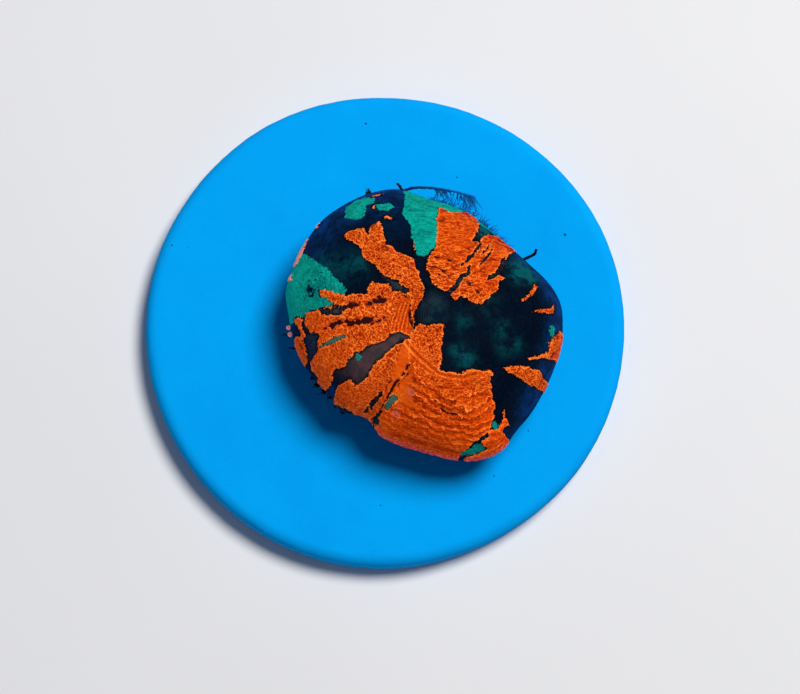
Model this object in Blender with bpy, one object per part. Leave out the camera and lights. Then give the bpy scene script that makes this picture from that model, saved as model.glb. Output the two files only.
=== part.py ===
"""Scolymia coral fragment: one fleshy coral polyp, cut flat and set on a round ceramic frag disc.

Metres, +Z up. The disc's underside lies on z = 0 with its centre at the origin. The coral stands off
centre on the disc, and a few small algae growths cling to the rim of its flesh.
"""

import math

import bmesh
import bpy
from mathutils import Vector

MM = 0.001

# Frag disc: a cast ceramic plate with a hand-made, slightly uneven outline.
DISC_RADIUS = 38.0 * MM
DISC_THICKNESS = 6.0 * MM
DISC_TOP_ROUNDING = 1.9 * MM
DISC_FOOT_ROUNDING = 0.8 * MM
DISC_SEGMENTS = 96
DISC_ROUNDING_STEPS = 4
DISC_WAVES = [(3, 0.13 * MM, 40.0), (5, 0.07 * MM, 200.0), (7, 0.04 * MM, 110.0)]  # lobes, depth, degrees

# Clear gap between pieces that touch.
GAP = 0.3 * MM

# Coral: heights are above the disc's underside, shares are of the rim's radius about the mouth.
MOUTH_X = 4.0 * MM
MOUTH_Y = -3.8 * MM
RIM_HEIGHT = 14.0 * MM
DOME_RISE = 12.5 * MM
DOME_ROUNDNESS = 2.3
HOLLOW_DEPTH = 1.1 * MM  # the flesh sinks gently towards the mouth
HOLLOW_SHARE = 0.26
CORAL_SEGMENTS = 72
DOME_SHARES = [0.05, 0.11, 0.18, 0.27, 0.37, 0.48, 0.58, 0.68, 0.77, 0.85, 0.915, 0.96, 0.987, 1.0]
RIM_POINTS = [  # degrees about the mouth, radius in millimetres
    (0, 23.4), (15, 23.7), (32, 21.8), (48, 20.8), (68, 21.6), (82, 22.1), (96, 23.6),
    (120, 23.3), (142, 21.8), (160, 20.0), (178, 18.2), (198, 16.5), (215, 15.2), (226, 15.4),
    (242, 14.0), (254, 15.8), (276, 17.6), (303, 21.9), (320, 21.7), (333, 22.0), (346, 22.5),
]
UNDERSIDE = [  # share of the rim's radius, height above the disc's top: flesh fold, then stony base
    (0.99, 6.4 * MM), (0.955, 4.9 * MM), (0.89, 3.9 * MM), (0.80, 3.3 * MM), (0.74, 2.3 * MM), (0.73, GAP),
]
LOBE_COUNT = 17
LOBE_DEPTH = 0.16 * MM
LOBE_FULL_SHARE = 0.6  # the folds reach their full depth here
LOBE_DRIFT = 1.5  # radians that the folds wander from even spacing
SHARP_EDGE = math.radians(50.0)

# Mouth: a slanting curved slit with a raised lobe of flesh on its right.
SLIT_CENTRE_Y = 1.8 * MM
SLIT_LEAN = 0.3  # sideways drift per length
SLIT_LENGTH = 8.0 * MM
SLIT_WIDTH = 0.9 * MM
SLIT_DEPTH = 1.3 * MM
SLIT_BEND = 0.5 * MM
MOUTH_LOBE_X = 3.0 * MM
MOUTH_LOBE_Y = 1.9 * MM
MOUTH_LOBE_RADIUS = 2.3 * MM
MOUTH_LOBE_RISE = 0.6 * MM

# Algae: routes in degrees about the mouth, distance out from the rim and height, all in millimetres.
STRAND_ROUTE = [
    (91.5, 0.55, 14.5), (89, 0.93, 14.5), (84.5, 1.58, 14.4), (79, 2.14, 14.1),
    (73, 2.5, 13.6), (68, 2.95, 13.0), (64, 3.4, 12.5),
]
STRAND_RADIUS = 0.26 * MM
TWIG_ROUTE = [(92.3, 0.5, 13.5), (93.8, 0.77, 14.0), (94.8, 1.1, 14.4)]
TWIG_RADIUS = 0.24 * MM
FROND_ROUTE = [(36.3, 0.45, 12.6), (35.4, 1.39, 12.8), (35.0, 2.09, 13.2), (35.7, 2.6, 14.0)]
FROND_RADIUS = 0.27 * MM
SPROUT_ROUTE = [(106.0, 0.45, 13.3), (105.8, 0.8, 13.7), (105.6, 1.15, 14.0)]
SPROUT_RADIUS = 0.4 * MM
SPINE_UPPER_ROUTE = [(177.7, 0.45, 12.9), (177.7, 1.0, 12.9), (177.8, 1.65, 12.95)]
SPINE_LOWER_ROUTE = [(184.4, 0.45, 12.6), (184.0, 0.75, 12.6), (183.6, 1.1, 12.6)]
SPINE_RADIUS = 0.16 * MM
TUBE_SIDES = 8
TUBE_STEPS_PER_LEG = 4
STEM_TAPER = 0.7  # share of its radius that a stem loses by its tip

# Hair algae: each thicket is a crescent that follows the rim and tapers at both ends.
THICKETS = {  # degrees from and to, middle height, half width, half depth
    "algae_tuft": (44.0, 80.0, 12.4 * MM, 1.25 * MM, 1.0 * MM),
    "algae_fringe": (198.0, 232.0, 11.2 * MM, 0.5 * MM, 0.8 * MM),
}
THICKET_CLEARANCE = 0.4 * MM
THICKET_STEPS = 16
THICKET_SIDES = 10
THICKET_END_FULLNESS = 0.15
THICKET_TAPER = 0.6

MATERIALS = {  # colour, roughness, metallic
    "ceramic_glaze": ((0.0006, 0.37, 0.89), 0.5, 0.0),
    "coral_flesh": ((0.65, 0.12, 0.006), 0.45, 0.0),
    "dark_algae": ((0.004, 0.016, 0.04), 0.7, 0.0),
}


def clear_scene():
    """Remove everything that a new file starts with."""
    for thing in list(bpy.data.objects):
        bpy.data.objects.remove(thing, do_unlink=True)


def make_material(name):
    """Principled material with the colour, roughness and metallic value of its row."""
    colour, roughness, metallic = MATERIALS[name]
    material = bpy.data.materials.new(name)
    material.use_nodes = True
    shader = material.node_tree.nodes["Principled BSDF"]
    shader.inputs["Base Color"].default_value = (*colour, 1.0)
    shader.inputs["Roughness"].default_value = roughness
    shader.inputs["Metallic"].default_value = metallic
    material.diffuse_color = (*colour, 1.0)
    return material


def rings_to_object(name, rings, material):
    """Closed solid skinned over rings of equal point count, with a flat fan on each end ring."""
    mesh_data = bmesh.new()
    loops = [[mesh_data.verts.new(point) for point in ring] for ring in rings]
    for lower, upper in zip(loops, loops[1:]):
        for i, corner in enumerate(lower):
            j = (i + 1) % len(lower)
            mesh_data.faces.new((corner, lower[j], upper[j], upper[i]))
    for loop in (loops[0], loops[-1]):
        centre = mesh_data.verts.new(sum((vert.co for vert in loop), Vector()) / len(loop))
        for i, corner in enumerate(loop):
            mesh_data.faces.new((corner, loop[(i + 1) % len(loop)], centre))
    bmesh.ops.recalc_face_normals(mesh_data, faces=mesh_data.faces)
    mesh = bpy.data.meshes.new(name)
    mesh_data.to_mesh(mesh)
    mesh_data.free()
    mesh.materials.append(material)
    mesh.shade_smooth()
    mesh.set_sharp_from_angle(angle=SHARP_EDGE)
    piece = bpy.data.objects.new(name, mesh)
    bpy.context.scene.collection.objects.link(piece)
    return piece


def smooth_curve(before, start, end, after, t):
    """Catmull-Rom value between start and end."""
    return 0.5 * (
        2 * start + (end - before) * t
        + (2 * before - 5 * start + 4 * end - after) * t * t
        + (3 * start - before - 3 * end + after) * t ** 3
    )


# ---------------------------------------------------------------- frag disc

def disc_radius(angle):
    """Outline radius of the disc in one direction."""
    wave = sum(depth * math.cos(lobes * angle - math.radians(turn)) for lobes, depth, turn in DISC_WAVES)
    return DISC_RADIUS + wave


def disc_profile():
    """(inset from the outline, height) pairs from the underside over the edge to the top."""
    profile = []
    for i in range(DISC_ROUNDING_STEPS + 1):
        turn = math.pi / 2 * i / DISC_ROUNDING_STEPS
        inset = DISC_FOOT_ROUNDING * (1 - math.sin(turn))
        profile.append((inset, DISC_FOOT_ROUNDING * (1 - math.cos(turn))))
    for i in range(DISC_ROUNDING_STEPS + 1):
        turn = math.pi / 2 * i / DISC_ROUNDING_STEPS
        inset = DISC_TOP_ROUNDING * (1 - math.cos(turn))
        profile.append((inset, DISC_THICKNESS - DISC_TOP_ROUNDING * (1 - math.sin(turn))))
    return profile


def build_disc():
    """Flat-bottomed ceramic disc with rounded edges."""
    angles = [2 * math.pi * i / DISC_SEGMENTS for i in range(DISC_SEGMENTS)]
    rings = []
    for inset, height in disc_profile():
        ring = []
        for angle in angles:
            radius = disc_radius(angle) - inset
            ring.append(Vector((radius * math.cos(angle), radius * math.sin(angle), height)))
        rings.append(ring)
    rings_to_object("ceramic_disc", rings, make_material("ceramic_glaze"))


# ---------------------------------------------------------------- coral

def rim_radius(degrees):
    """Radius of the flesh's rim about the mouth, on a closed smooth curve through RIM_POINTS."""
    degrees %= 360
    count = len(RIM_POINTS)
    for i in range(count):
        start, start_radius = RIM_POINTS[i]
        end, end_radius = RIM_POINTS[(i + 1) % count]
        span = (end - start) % 360
        along = (degrees - start) % 360
        if along < span:
            before = RIM_POINTS[i - 1][1]
            after = RIM_POINTS[(i + 2) % count][1]
            return smooth_curve(before, start_radius, end_radius, after, along / span) * MM
    raise ValueError("RIM_POINTS leave a gap")


def lobe_wave(degrees, share):
    """Low folds that run out over the flesh from the mouth to the rim."""
    fade = min(1.0, share / LOBE_FULL_SHARE) ** 2
    angle = math.radians(degrees)
    return LOBE_DEPTH * fade * math.cos(LOBE_COUNT * angle + LOBE_DRIFT * math.sin(2 * angle))


def mouth_relief(x, y):
    """Height added around the mouth: the curved slit sinks in, and the lobe beside it stands up."""
    along = (y - SLIT_CENTRE_Y) / (SLIT_LENGTH / 2)
    across = x - SLIT_LEAN * y - SLIT_BEND * (along * along - 0.3)
    slit = math.exp(-(across / SLIT_WIDTH) ** 2) * max(0.0, 1 - along ** 4)
    lobe_distance = math.hypot(x - MOUTH_LOBE_X, y - MOUTH_LOBE_Y) / MOUTH_LOBE_RADIUS
    return MOUTH_LOBE_RISE * math.exp(-lobe_distance ** 4) - SLIT_DEPTH * slit


def dome_point(degrees, share):
    """Point of the upper flesh at a share of the rim's radius."""
    angle = math.radians(degrees)
    radius = share * rim_radius(degrees)
    x = radius * math.cos(angle)
    y = radius * math.sin(angle)
    height = RIM_HEIGHT + DOME_RISE * (1 - share ** DOME_ROUNDNESS) ** 0.5
    height -= HOLLOW_DEPTH * math.exp(-(share / HOLLOW_SHARE) ** 2)
    height += lobe_wave(degrees, share) * (1 - share ** 6) + mouth_relief(x, y)
    return Vector((MOUTH_X + x, MOUTH_Y + y, height))


def underside_point(degrees, share, height):
    """Point below the rim, on the folded edge of the flesh or the stony base."""
    angle = math.radians(degrees)
    radius = share * rim_radius(degrees) + lobe_wave(degrees, share)
    return Vector((
        MOUTH_X + radius * math.cos(angle),
        MOUTH_Y + radius * math.sin(angle),
        DISC_THICKNESS + height,
    ))


def build_coral():
    """Domed flesh, its folded rim, and the narrower stony base cut flat above the disc."""
    degrees = [360 * i / CORAL_SEGMENTS for i in range(CORAL_SEGMENTS)]
    rings = []
    for share, height in reversed(UNDERSIDE):
        rings.append([underside_point(turn, share, height) for turn in degrees])
    for share in reversed(DOME_SHARES):
        rings.append([dome_point(turn, share) for turn in degrees])
    rings_to_object("scolymia_coral", rings, make_material("coral_flesh"))


# ---------------------------------------------------------------- algae

def route_point(degrees, out, height):
    """Point at a distance out from the rim, in millimetres."""
    angle = math.radians(degrees)
    radius = rim_radius(degrees) + out * MM
    return Vector((MOUTH_X + radius * math.cos(angle), MOUTH_Y + radius * math.sin(angle), height * MM))


def smooth_route(route):
    """Closely spaced points on a smooth curve through the route's own points."""
    corners = [route_point(*corner) for corner in route]
    points = []
    for i in range(len(corners) - 1):
        before = corners[max(i - 1, 0)]
        after = corners[min(i + 2, len(corners) - 1)]
        for step in range(TUBE_STEPS_PER_LEG):
            t = step / TUBE_STEPS_PER_LEG
            points.append(smooth_curve(before, corners[i], corners[i + 1], after, t))
    points.append(corners[-1])
    return points


def build_stem(name, route, radius, material):
    """Round stem along a route, tapering to a blunt tip."""
    points = smooth_route(route)
    rings = []
    for i, point in enumerate(points):
        ahead = points[min(i + 1, len(points) - 1)]
        behind = points[max(i - 1, 0)]
        forward = (ahead - behind).normalized()
        side = forward.cross(Vector((0, 0, 1))).normalized()
        up = side.cross(forward)
        taper = 1.0 - STEM_TAPER * (i / (len(points) - 1)) ** 2
        ring = []
        for k in range(TUBE_SIDES):
            turn = 2 * math.pi * k / TUBE_SIDES
            ring.append(point + radius * taper * (math.cos(turn) * side + math.sin(turn) * up))
        rings.append(ring)
    rings_to_object(name, rings, material)


def build_thicket(name, material):
    """Crescent of hair algae along the rim, as the solid that its hair tips reach."""
    first, last, height, full_width, full_depth = THICKETS[name]
    rings = []
    for i in range(THICKET_STEPS + 1):
        along = i / THICKET_STEPS
        degrees = first + (last - first) * along
        swell = math.sin(math.pi * along) ** THICKET_TAPER
        fullness = THICKET_END_FULLNESS + (1 - THICKET_END_FULLNESS) * swell
        half_width = full_width * fullness
        half_depth = full_depth * fullness
        angle = math.radians(degrees)
        outward = Vector((math.cos(angle), math.sin(angle), 0))
        centre = Vector((MOUTH_X, MOUTH_Y, height))
        centre += outward * (rim_radius(degrees) + THICKET_CLEARANCE + half_width)
        ring = []
        for k in range(THICKET_SIDES):
            turn = 2 * math.pi * k / THICKET_SIDES
            lift = Vector((0, 0, half_depth * math.sin(turn)))
            ring.append(centre + outward * half_width * math.cos(turn) + lift)
        rings.append(ring)
    rings_to_object(name, rings, material)


def build_algae():
    """Small growths that cling to the rim."""
    material = make_material("dark_algae")
    for name in THICKETS:
        build_thicket(name, material)
    build_stem("algae_strand", STRAND_ROUTE, STRAND_RADIUS, material)
    build_stem("algae_twig", TWIG_ROUTE, TWIG_RADIUS, material)
    build_stem("algae_frond", FROND_ROUTE, FROND_RADIUS, material)
    build_stem("algae_sprout", SPROUT_ROUTE, SPROUT_RADIUS, material)
    build_stem("algae_spine_upper", SPINE_UPPER_ROUTE, SPINE_RADIUS, material)
    build_stem("algae_spine_lower", SPINE_LOWER_ROUTE, SPINE_RADIUS, material)


clear_scene()
build_disc()
build_coral()
build_algae()
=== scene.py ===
import itertools
import math

import bpy
import numpy as np
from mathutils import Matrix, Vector


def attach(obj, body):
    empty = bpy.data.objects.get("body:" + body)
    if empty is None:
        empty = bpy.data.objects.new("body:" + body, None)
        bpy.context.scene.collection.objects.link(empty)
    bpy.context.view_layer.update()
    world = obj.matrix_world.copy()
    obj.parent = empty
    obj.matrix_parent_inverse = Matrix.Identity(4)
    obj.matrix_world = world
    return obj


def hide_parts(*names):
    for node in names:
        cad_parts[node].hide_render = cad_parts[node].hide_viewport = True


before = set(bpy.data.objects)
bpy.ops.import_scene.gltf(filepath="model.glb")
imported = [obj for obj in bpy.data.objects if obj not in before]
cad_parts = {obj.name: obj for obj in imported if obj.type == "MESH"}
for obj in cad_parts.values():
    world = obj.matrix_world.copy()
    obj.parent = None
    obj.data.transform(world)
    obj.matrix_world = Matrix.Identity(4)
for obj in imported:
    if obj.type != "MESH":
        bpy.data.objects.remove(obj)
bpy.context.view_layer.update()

# Lengths here are in millimetres and are scaled by MM when a mesh is made. Places on the flesh are
# polar about the mouth: degrees, and a share of the rim's radius that runs on past 1 under the rim.
MM = 0.001

DISC_RADIUS = 38.0
DISC_TOP = 6.0
DISC_TOP_ROUNDING = 1.9
DISC_FOOT_ROUNDING = 0.8
DISC_WAVES = [(3, 0.13, 40.0), (5, 0.07, 200.0), (7, 0.04, 110.0)]  # lobes, depth, degrees
DISC_SEGMENTS = 240
DISC_SPECKS = [  # place on the disc, radius
    (-3.1, 33.0, 0.18), (11.5, 24.1, 0.13), (28.7, 14.6, 0.22), (17.1, -24.1, 0.13),
    (-0.6, -28.7, 0.11), (-31.3, 12.6, 0.10), (-33.9, 12.9, 0.13), (22.5, -17.0, 0.10),
]
SPECK_WOBBLE = 0.15

MOUTH = np.array([4.0, -3.8])
RIM_HEIGHT = 14.0
DOME_RISE = 12.5
DOME_ROUNDNESS = 2.3
HOLLOW_DEPTH = 1.1
HOLLOW_SHARE = 0.26
LOBE_COUNT = 17
LOBE_DEPTH = 0.16
RIM_POINTS = [  # degrees about the mouth, radius
    (0, 23.4), (15, 23.7), (32, 21.8), (48, 20.8), (68, 21.6), (82, 22.1), (96, 23.6),
    (120, 23.3), (142, 21.8), (160, 20.0), (178, 18.2), (198, 16.5), (215, 15.2), (226, 15.4),
    (242, 14.0), (254, 15.8), (276, 17.6), (303, 21.9), (320, 21.7), (333, 22.0), (346, 22.5),
]
UNDERSIDE = [(1.0, 14.0), (0.99, 12.4), (0.955, 10.9), (0.89, 9.9), (0.80, 9.3), (0.72, 9.5), (0.62, 10.2)]
SLIT_CENTRE_Y = 1.8
SLIT_LEAN = 0.3
SLIT_LENGTH = 8.0
SLIT_WIDTH = 0.55
SLIT_DEPTH = 1.2
SLIT_BEND = 0.5
MOUTH_LOBE = (3.0, 1.9)  # place of the smooth lobe beside the slit
MOUTH_LOBE_RADIUS = 2.3
MOUTH_LOBE_RISE = 0.6
LOBE_ARCS = (5.0, 1.0)  # centre of the fine arcs on the lobe
LOBE_ARC_SPACING = 0.36
FOOT_PROFILE = [  # share of the rim's radius, height
    (0.765, 6.06), (0.755, 6.5), (0.74, 7.2), (0.735, 8.0), (0.75, 8.8), (0.78, 9.5), (0.76, 10.3),
    (0.66, 11.0),
]
FOOT_SEGMENTS = 360

TOP_RINGS = 141
UNDERSIDE_RINGS = 16
MEAN_RIM = 20.0
DEPTH_LIMIT = 1.5  # depths inside areas are kept within this

# Outlines of the coloured areas, as (degrees, share of the rim's radius).
ORANGE_AREAS = {
    "upper_left": [
        (126, .76), (122, .75), (115, .72), (115, .64), (112, .70), (106, .72), (106, .61), (107, .54),
        (103, .51), (101, .475), (94, .445), (87, .44), (86, .38), (81, .35), (79, .31), (75, .29),
        (70, .275), (67, .25), (64, .215), (66, .165), (70, .12), (72, .085), (85, .075), (90, .10),
        (88, .17), (92, .215), (100, .24), (106, .265), (107, .29), (113, .305), (118, .35), (121, .40),
        (120, .445), (124, .51), (124, .56), (122, .61), (125, .70),
    ],
    "left": [
        (160.5, .72), (158, .73), (156.8, .69), (156.3, .58), (156, .515), (153, .475), (150, .43),
        (149, .40), (146.5, .37), (144, .365), (140.5, .38), (135.5, .38), (132, .375), (129, .345),
        (126, .325), (120, .295), (118, .27), (120, .235), (112, .225), (99, .21), (90, .20), (86, .16),
        (84, .09), (75, .07), (60, .05), (20, .03), (300, .04), (285, .09), (262, .12), (249, .125),
        (233, .125), (218, .14), (212, .17), (210.5, .24), (214, .30), (212, .35), (209.6, .435),
        (208.5, .475), (209, .52), (208.4, .57), (206.7, .595), (209, .655), (209, .685), (210.4, .72),
        (211.5, .755), (210.3, .80), (208, .82), (208.6, .85), (210, .877), (212, .90), (214, .94),
        (213, .99), (211, 1.02), (207, 1.02), (205, .985), (200, .975), (196.5, .955), (195.5, .92),
        (194.5, .885), (192.5, .84), (190.5, .835), (187.5, .81), (184.5, .775), (182.5, .81), (181, .85),
        (178, .87), (175.5, .875), (173.5, .865), (171, .85), (170.5, .80), (170, .74), (168.5, .70),
        (166, .66), (165.3, .625), (163.5, .60), (162.4, .645), (161, .68),
    ],
    "upper_right": [
        (77.2, .905), (74.5, .90), (71.5, .90), (67.5, .95), (66, 1.0), (61.5, 1.0), (58.5, .95), (57, .90),
        (56, .83), (55.5, .77), (53, .81), (51.2, .81), (50.5, .70), (49.4, .59), (46.5, .61), (44.2, .59),
        (42.6, .55), (41, .49), (40.5, .447), (40, .39), (42.5, .345), (46.5, .33),
        (50.5, .33), (56, .333), (58.5, .317), (64, .33), (69.5, .37), (73.5, .39), (75, .42), (75, .50),
        (73, .555), (72.5, .585), (74.5, .67), (75.3, .74), (77, .80),
    ],
    "right": [
        (52, .92), (49, .985), (45, 1.0), (45, 1.05), (40, 1.05), (38.7, .955), (38, .885), (36, .82),
        (34, .785), (33, .73), (31, .71), (27.7, .72), (26.8, .665), (23.8, .625), (22, .615), (20.8, .57),
        (18, .51), (15.5, .465), (19, .415), (22.6, .40), (24.2, .42), (28.2, .39), (28.3, .36), (27, .34),
        (29.4, .335), (33.8, .34), (37, .35), (40.5, .39), (41.5, .447), (42, .49), (43.8, .55),
        (45.2, .60), (49.5, .60), (51, .70), (51.6, .80), (52.5, .875),
    ],
    "left_rim": [
        (173.4, .955), (172.6, .925), (173.8, .89), (175.3, .89), (177, .915), (179.4, .90), (181.9, .89),
        (183.6, .915), (184.4, .94), (187.1, .93), (189.8, .935), (193.1, .955), (195.5, .985), (195, 1.02),
        (191, 1.02), (187, 1.015), (184, 1.0), (182.1, .99), (180.9, .976), (182.4, .955), (181.7, .932),
        (179.4, .93), (177.1, .938), (175.4, .95),
    ],
    "lower_left": [
        (259, .15), (252.5, .18), (246, .22), (242, .26), (233.5, .30), (233, .355), (231.5, .405),
        (229, .455), (228.3, .505), (228.5, .56), (229.8, .64), (230, .70), (228.5, .755), (227.7, .80),
        (225.7, .78), (221.5, .775), (220, .79), (219.3, .83), (218, .87), (218, .92), (218.5, .95),
        (219.7, .975), (222, 1.01), (246, 1.01), (248.2, .95), (249.8, .89), (251.4, .81), (252.6, .73),
        (254.5, .63), (257.5, .57), (262, .50), (264, .45), (269, .38), (269, .16),
    ],
    "bottom": [
        (266, .10), (285, .08), (300, .05), (330, .045), (356.4, .06), (354, .083), (350.5, .104),
        (354.7, .13), (357.4, .165), (358, .20), (355, .217), (343, .23), (336, .233), (327.5, .253),
        (320.3, .27), (316, .295), (308.7, .335), (300.5, .375), (305, .405), (308.5, .43), (314.2, .475),
        (317, .495), (320.6, .51), (323.7, .53), (327, .595), (330, .62), (330.3, .65), (328, .665),
        (327, .64), (323.5, .68), (322.5, .71), (320.5, .70), (320.3, .73), (317.8, .765), (317, .80),
        (314.3, .81), (312.8, .835), (310, .855), (307.3, .875), (305.6, .885), (302.5, .885), (300, .90),
        (295.4, .94), (293, .97), (291.5, .99), (291, 1.04), (284, 1.06), (276, 1.06), (268, 1.06),
        (259, 1.05), (246, 1.02), (247, .95), (248.6, .89), (250.2, .81), (251.6, .73), (253.3, .63),
        (255.8, .57), (260.3, .50), (262, .45), (266, .38), (266, .35),
    ],
    "right_sliver": [
        (301.9, .92), (305.6, .905), (306.5, .88), (308, .87), (309.3, .885), (311, .905), (313, .90),
        (315.2, .89), (318, .86), (319.3, .853), (319, .87), (317.3, .89), (316.8, .92), (316.3, .945),
        (313.8, .93), (312.3, .935), (312.3, .965), (313, 1.0), (310, 1.02), (304, 1.02), (298, 1.03),
        (294, 1.03), (293.5, .992), (298.5, .98), (300.3, .975), (303, .965), (303.5, .955), (302.6, .945),
    ],
    "right_rim_upper": [
        (1.5, .985), (0, 1.03), (355.5, 1.04), (350.5, 1.03), (349.3, .955), (348.5, .905), (347.2, .88),
        (345.3, .825), (345.6, .81), (347, .835), (348.4, .87), (350.1, .90), (351.2, .925), (353, .92),
        (355.2, .92), (356.6, .925), (357.9, .935), (359.4, .96),
    ],
    "right_rim_lower": [
        (335.1, .69), (334.6, .745), (335.1, .78), (335, .835), (335.2, .89), (336.2, .955), (337, 1.03),
        (341.3, 1.03), (340.8, .965), (342.1, .935), (342.8, .915), (342.5, .89), (341.6, .85), (341.7, .83),
        (339.8, .785), (338.8, .74), (337.3, .715),
    ],
    "tick_upper": [
        (13.6, .72), (15.6, .775), (18.5, .83), (20.6, .86), (18.6, .865), (16.6, .82), (13.9, .765),
        (13, .72),
    ],
    "tick_lower": [
        (8.1, .785), (8.7, .85), (9.7, .915), (10.9, .925), (10.5, .93), (9.2, .93), (7.6, .92), (6.9, .89),
        (7.4, .845), (7.7, .80),
    ],
    "tick_top": [(104.5, .735), (101.5, .748), (98.5, .715), (101.5, .718)],
    "tick_rim": [(105.5, .925), (101.5, .93), (101.3, .94), (105.5, .94)],
    "tick_green": [(107.3, .825), (105.8, .835), (106, .85), (107.5, .84)],
    "rim_arc_top": [(127.5, .985), (131.5, .975), (130.5, 1.0), (129.2, 1.04), (128.6, 1.0)],
    "rim_arc_long": [
        (136, .985), (140, .965), (146, .965), (149, .985), (148, 1.0), (146, .992), (143.6, 1.02),
        (142.8, 1.08), (141.8, 1.01), (139.5, .995), (138, 1.035), (137.2, 1.0),
    ],
    "rim_arc_short": [(152, .975), (155.5, .97), (154.8, 1.0), (153.6, 1.05), (153, 1.0)],
    "green_edge": [(88.3, .56), (87, .50), (86.2, .485), (86.8, .53)],
    "mouth_fold": [
        (88.7, .083), (89.2, .135), (83.2, .187), (75, .221), (67, .246), (66, .228), (72.7, .192),
        (77.5, .151), (79.9, .108),
    ],
}
GREEN_AREAS = {
    "top_left": [
        (120, .86), (117, .935), (113, .95), (108, .95), (105, .91), (105.5, .87), (109.5, .87),
        (111.5, .80), (114, .79), (117, .81),
    ],
    "top_small": [(105.5, .845), (99.5, .84), (97.5, .80), (101, .78), (104.5, .80)],
    "left": [
        (142, 1.03), (143, .945), (144, .815), (144.2, .755), (144.8, .70), (146.3, .665), (147.5, .65),
        (147, .61), (149, .59), (150, .55), (151.5, .525), (156, .53), (156.3, .58), (157, .70), (158, .75),
        (161, .735), (161, .68), (162.4, .645), (163.5, .60), (165.3, .62), (167.5, .71), (169, .755),
        (169.4, .80), (170.8, .84), (173, .86), (173, .89), (172, .925), (172.5, .955), (174, .97),
        (174, 1.05), (166, 1.09), (158, 1.09), (150, 1.08),
    ],
    "top": [
        (92.5, 1.02), (92.5, .86), (94, .75), (90, .68), (89.5, .59), (86.5, .53), (85.5, .475), (78, .48),
        (76, .52), (72.5, .58), (74, .69), (77, .80), (77.2, .905), (74.5, .90), (71.5, .90), (67.5, .95),
        (66.5, 1.02), (72, 1.06), (80, 1.06), (87, 1.06),
    ],
    "bottom": [
        (295, .945), (297.5, .935), (299.2, .92), (301.3, .925), (302.6, .945), (301.9, .965), (300, .97),
        (298, .97), (296.2, .98), (293.5, .985), (292.5, .98), (293, .97),
    ],
    "bottom_small": [(311.5, .845), (312.5, .87), (312.3, .895), (310.5, .90), (309.3, .885), (309.5, .86)],
    "right_small": [(2.3, .905), (2.4, .93), (1, .94), (358.9, .94), (357.7, .925), (358.1, .91)],
    "rim_line": [
        (66, .99), (60, .975), (57, .955), (53, .97), (50, .99), (50, 1.04), (58, 1.04), (66, 1.04),
    ],
}
MUTED_AREAS = {  # grey-green skin that shows through the orange
    "left_strip": [
        (191.5, .835), (190, .735), (188.5, .66), (188.8, .575), (190.3, .565), (191.8, .60), (192.3, .70),
        (192.8, .80),
    ],
    "bottom_patch": [
        (254.7, .69), (256.6, .67), (259.7, .68), (258.4, .73), (256.3, .78), (254.1, .82), (251.8, .83),
        (252.4, .77), (253.6, .73),
    ],
}
DARK_AREAS = {  # slate skin that cuts through the orange
    "left_patch": [
        (170.2, .735), (168.6, .70), (167.9, .645), (165.7, .58), (163.5, .52), (164.5, .50), (170.4, .54),
        (172.9, .56), (172.7, .62), (173.1, .685), (171.8, .735),
    ],
    "bottom_blot": [(244.7, .99), (246.6, .964), (249.5, .935), (251.3, .935), (250.8, .98), (248, 1.0)],
    "upper_gap": [
        (120.5, .36), (118, .34), (114.8, .325), (110.4, .30), (107.7, .262), (102, .236), (96, .232),
        (93.3, .20), (102.7, .20), (111.9, .225), (116.4, .27), (115.8, .30), (119, .34),
    ],
}
SLITS = {  # narrow gaps of slate skin: route as (degrees, share), then half width
    "left_cleft": ([(166.2, .672), (165.2, .619), (165.1, .562)], .20),
    "right_gap": ([(50.9, .818), (50, .748), (49.4, .688), (49.9, .617), (50.3, .571)], .24),
    "right_strip": ([(45.6, .613), (43, .56), (42.5, .511), (41.8, .45), (39.6, .401), (37.9, .36)], .36),
    "right_inner": ([(44.6, .836), (43.6, .772), (42.3, .713), (41.1, .647)], .17),
    "right_middle": ([(47.6, .864), (46.7, .798), (46.4, .743)], .13),
    "right_outer": ([(37.9, .85), (35.7, .801), (33.6, .74), (31.8, .672), (31.6, .629)], .36),
    "bottom_strip": ([(247.1, .745), (245.4, .80), (243.5, .87), (241.9, .93), (240, .975)], .34),
    "bottom_low": ([(250.8, .86), (249.6, .91), (248.8, .95)], .26),
}
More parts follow.
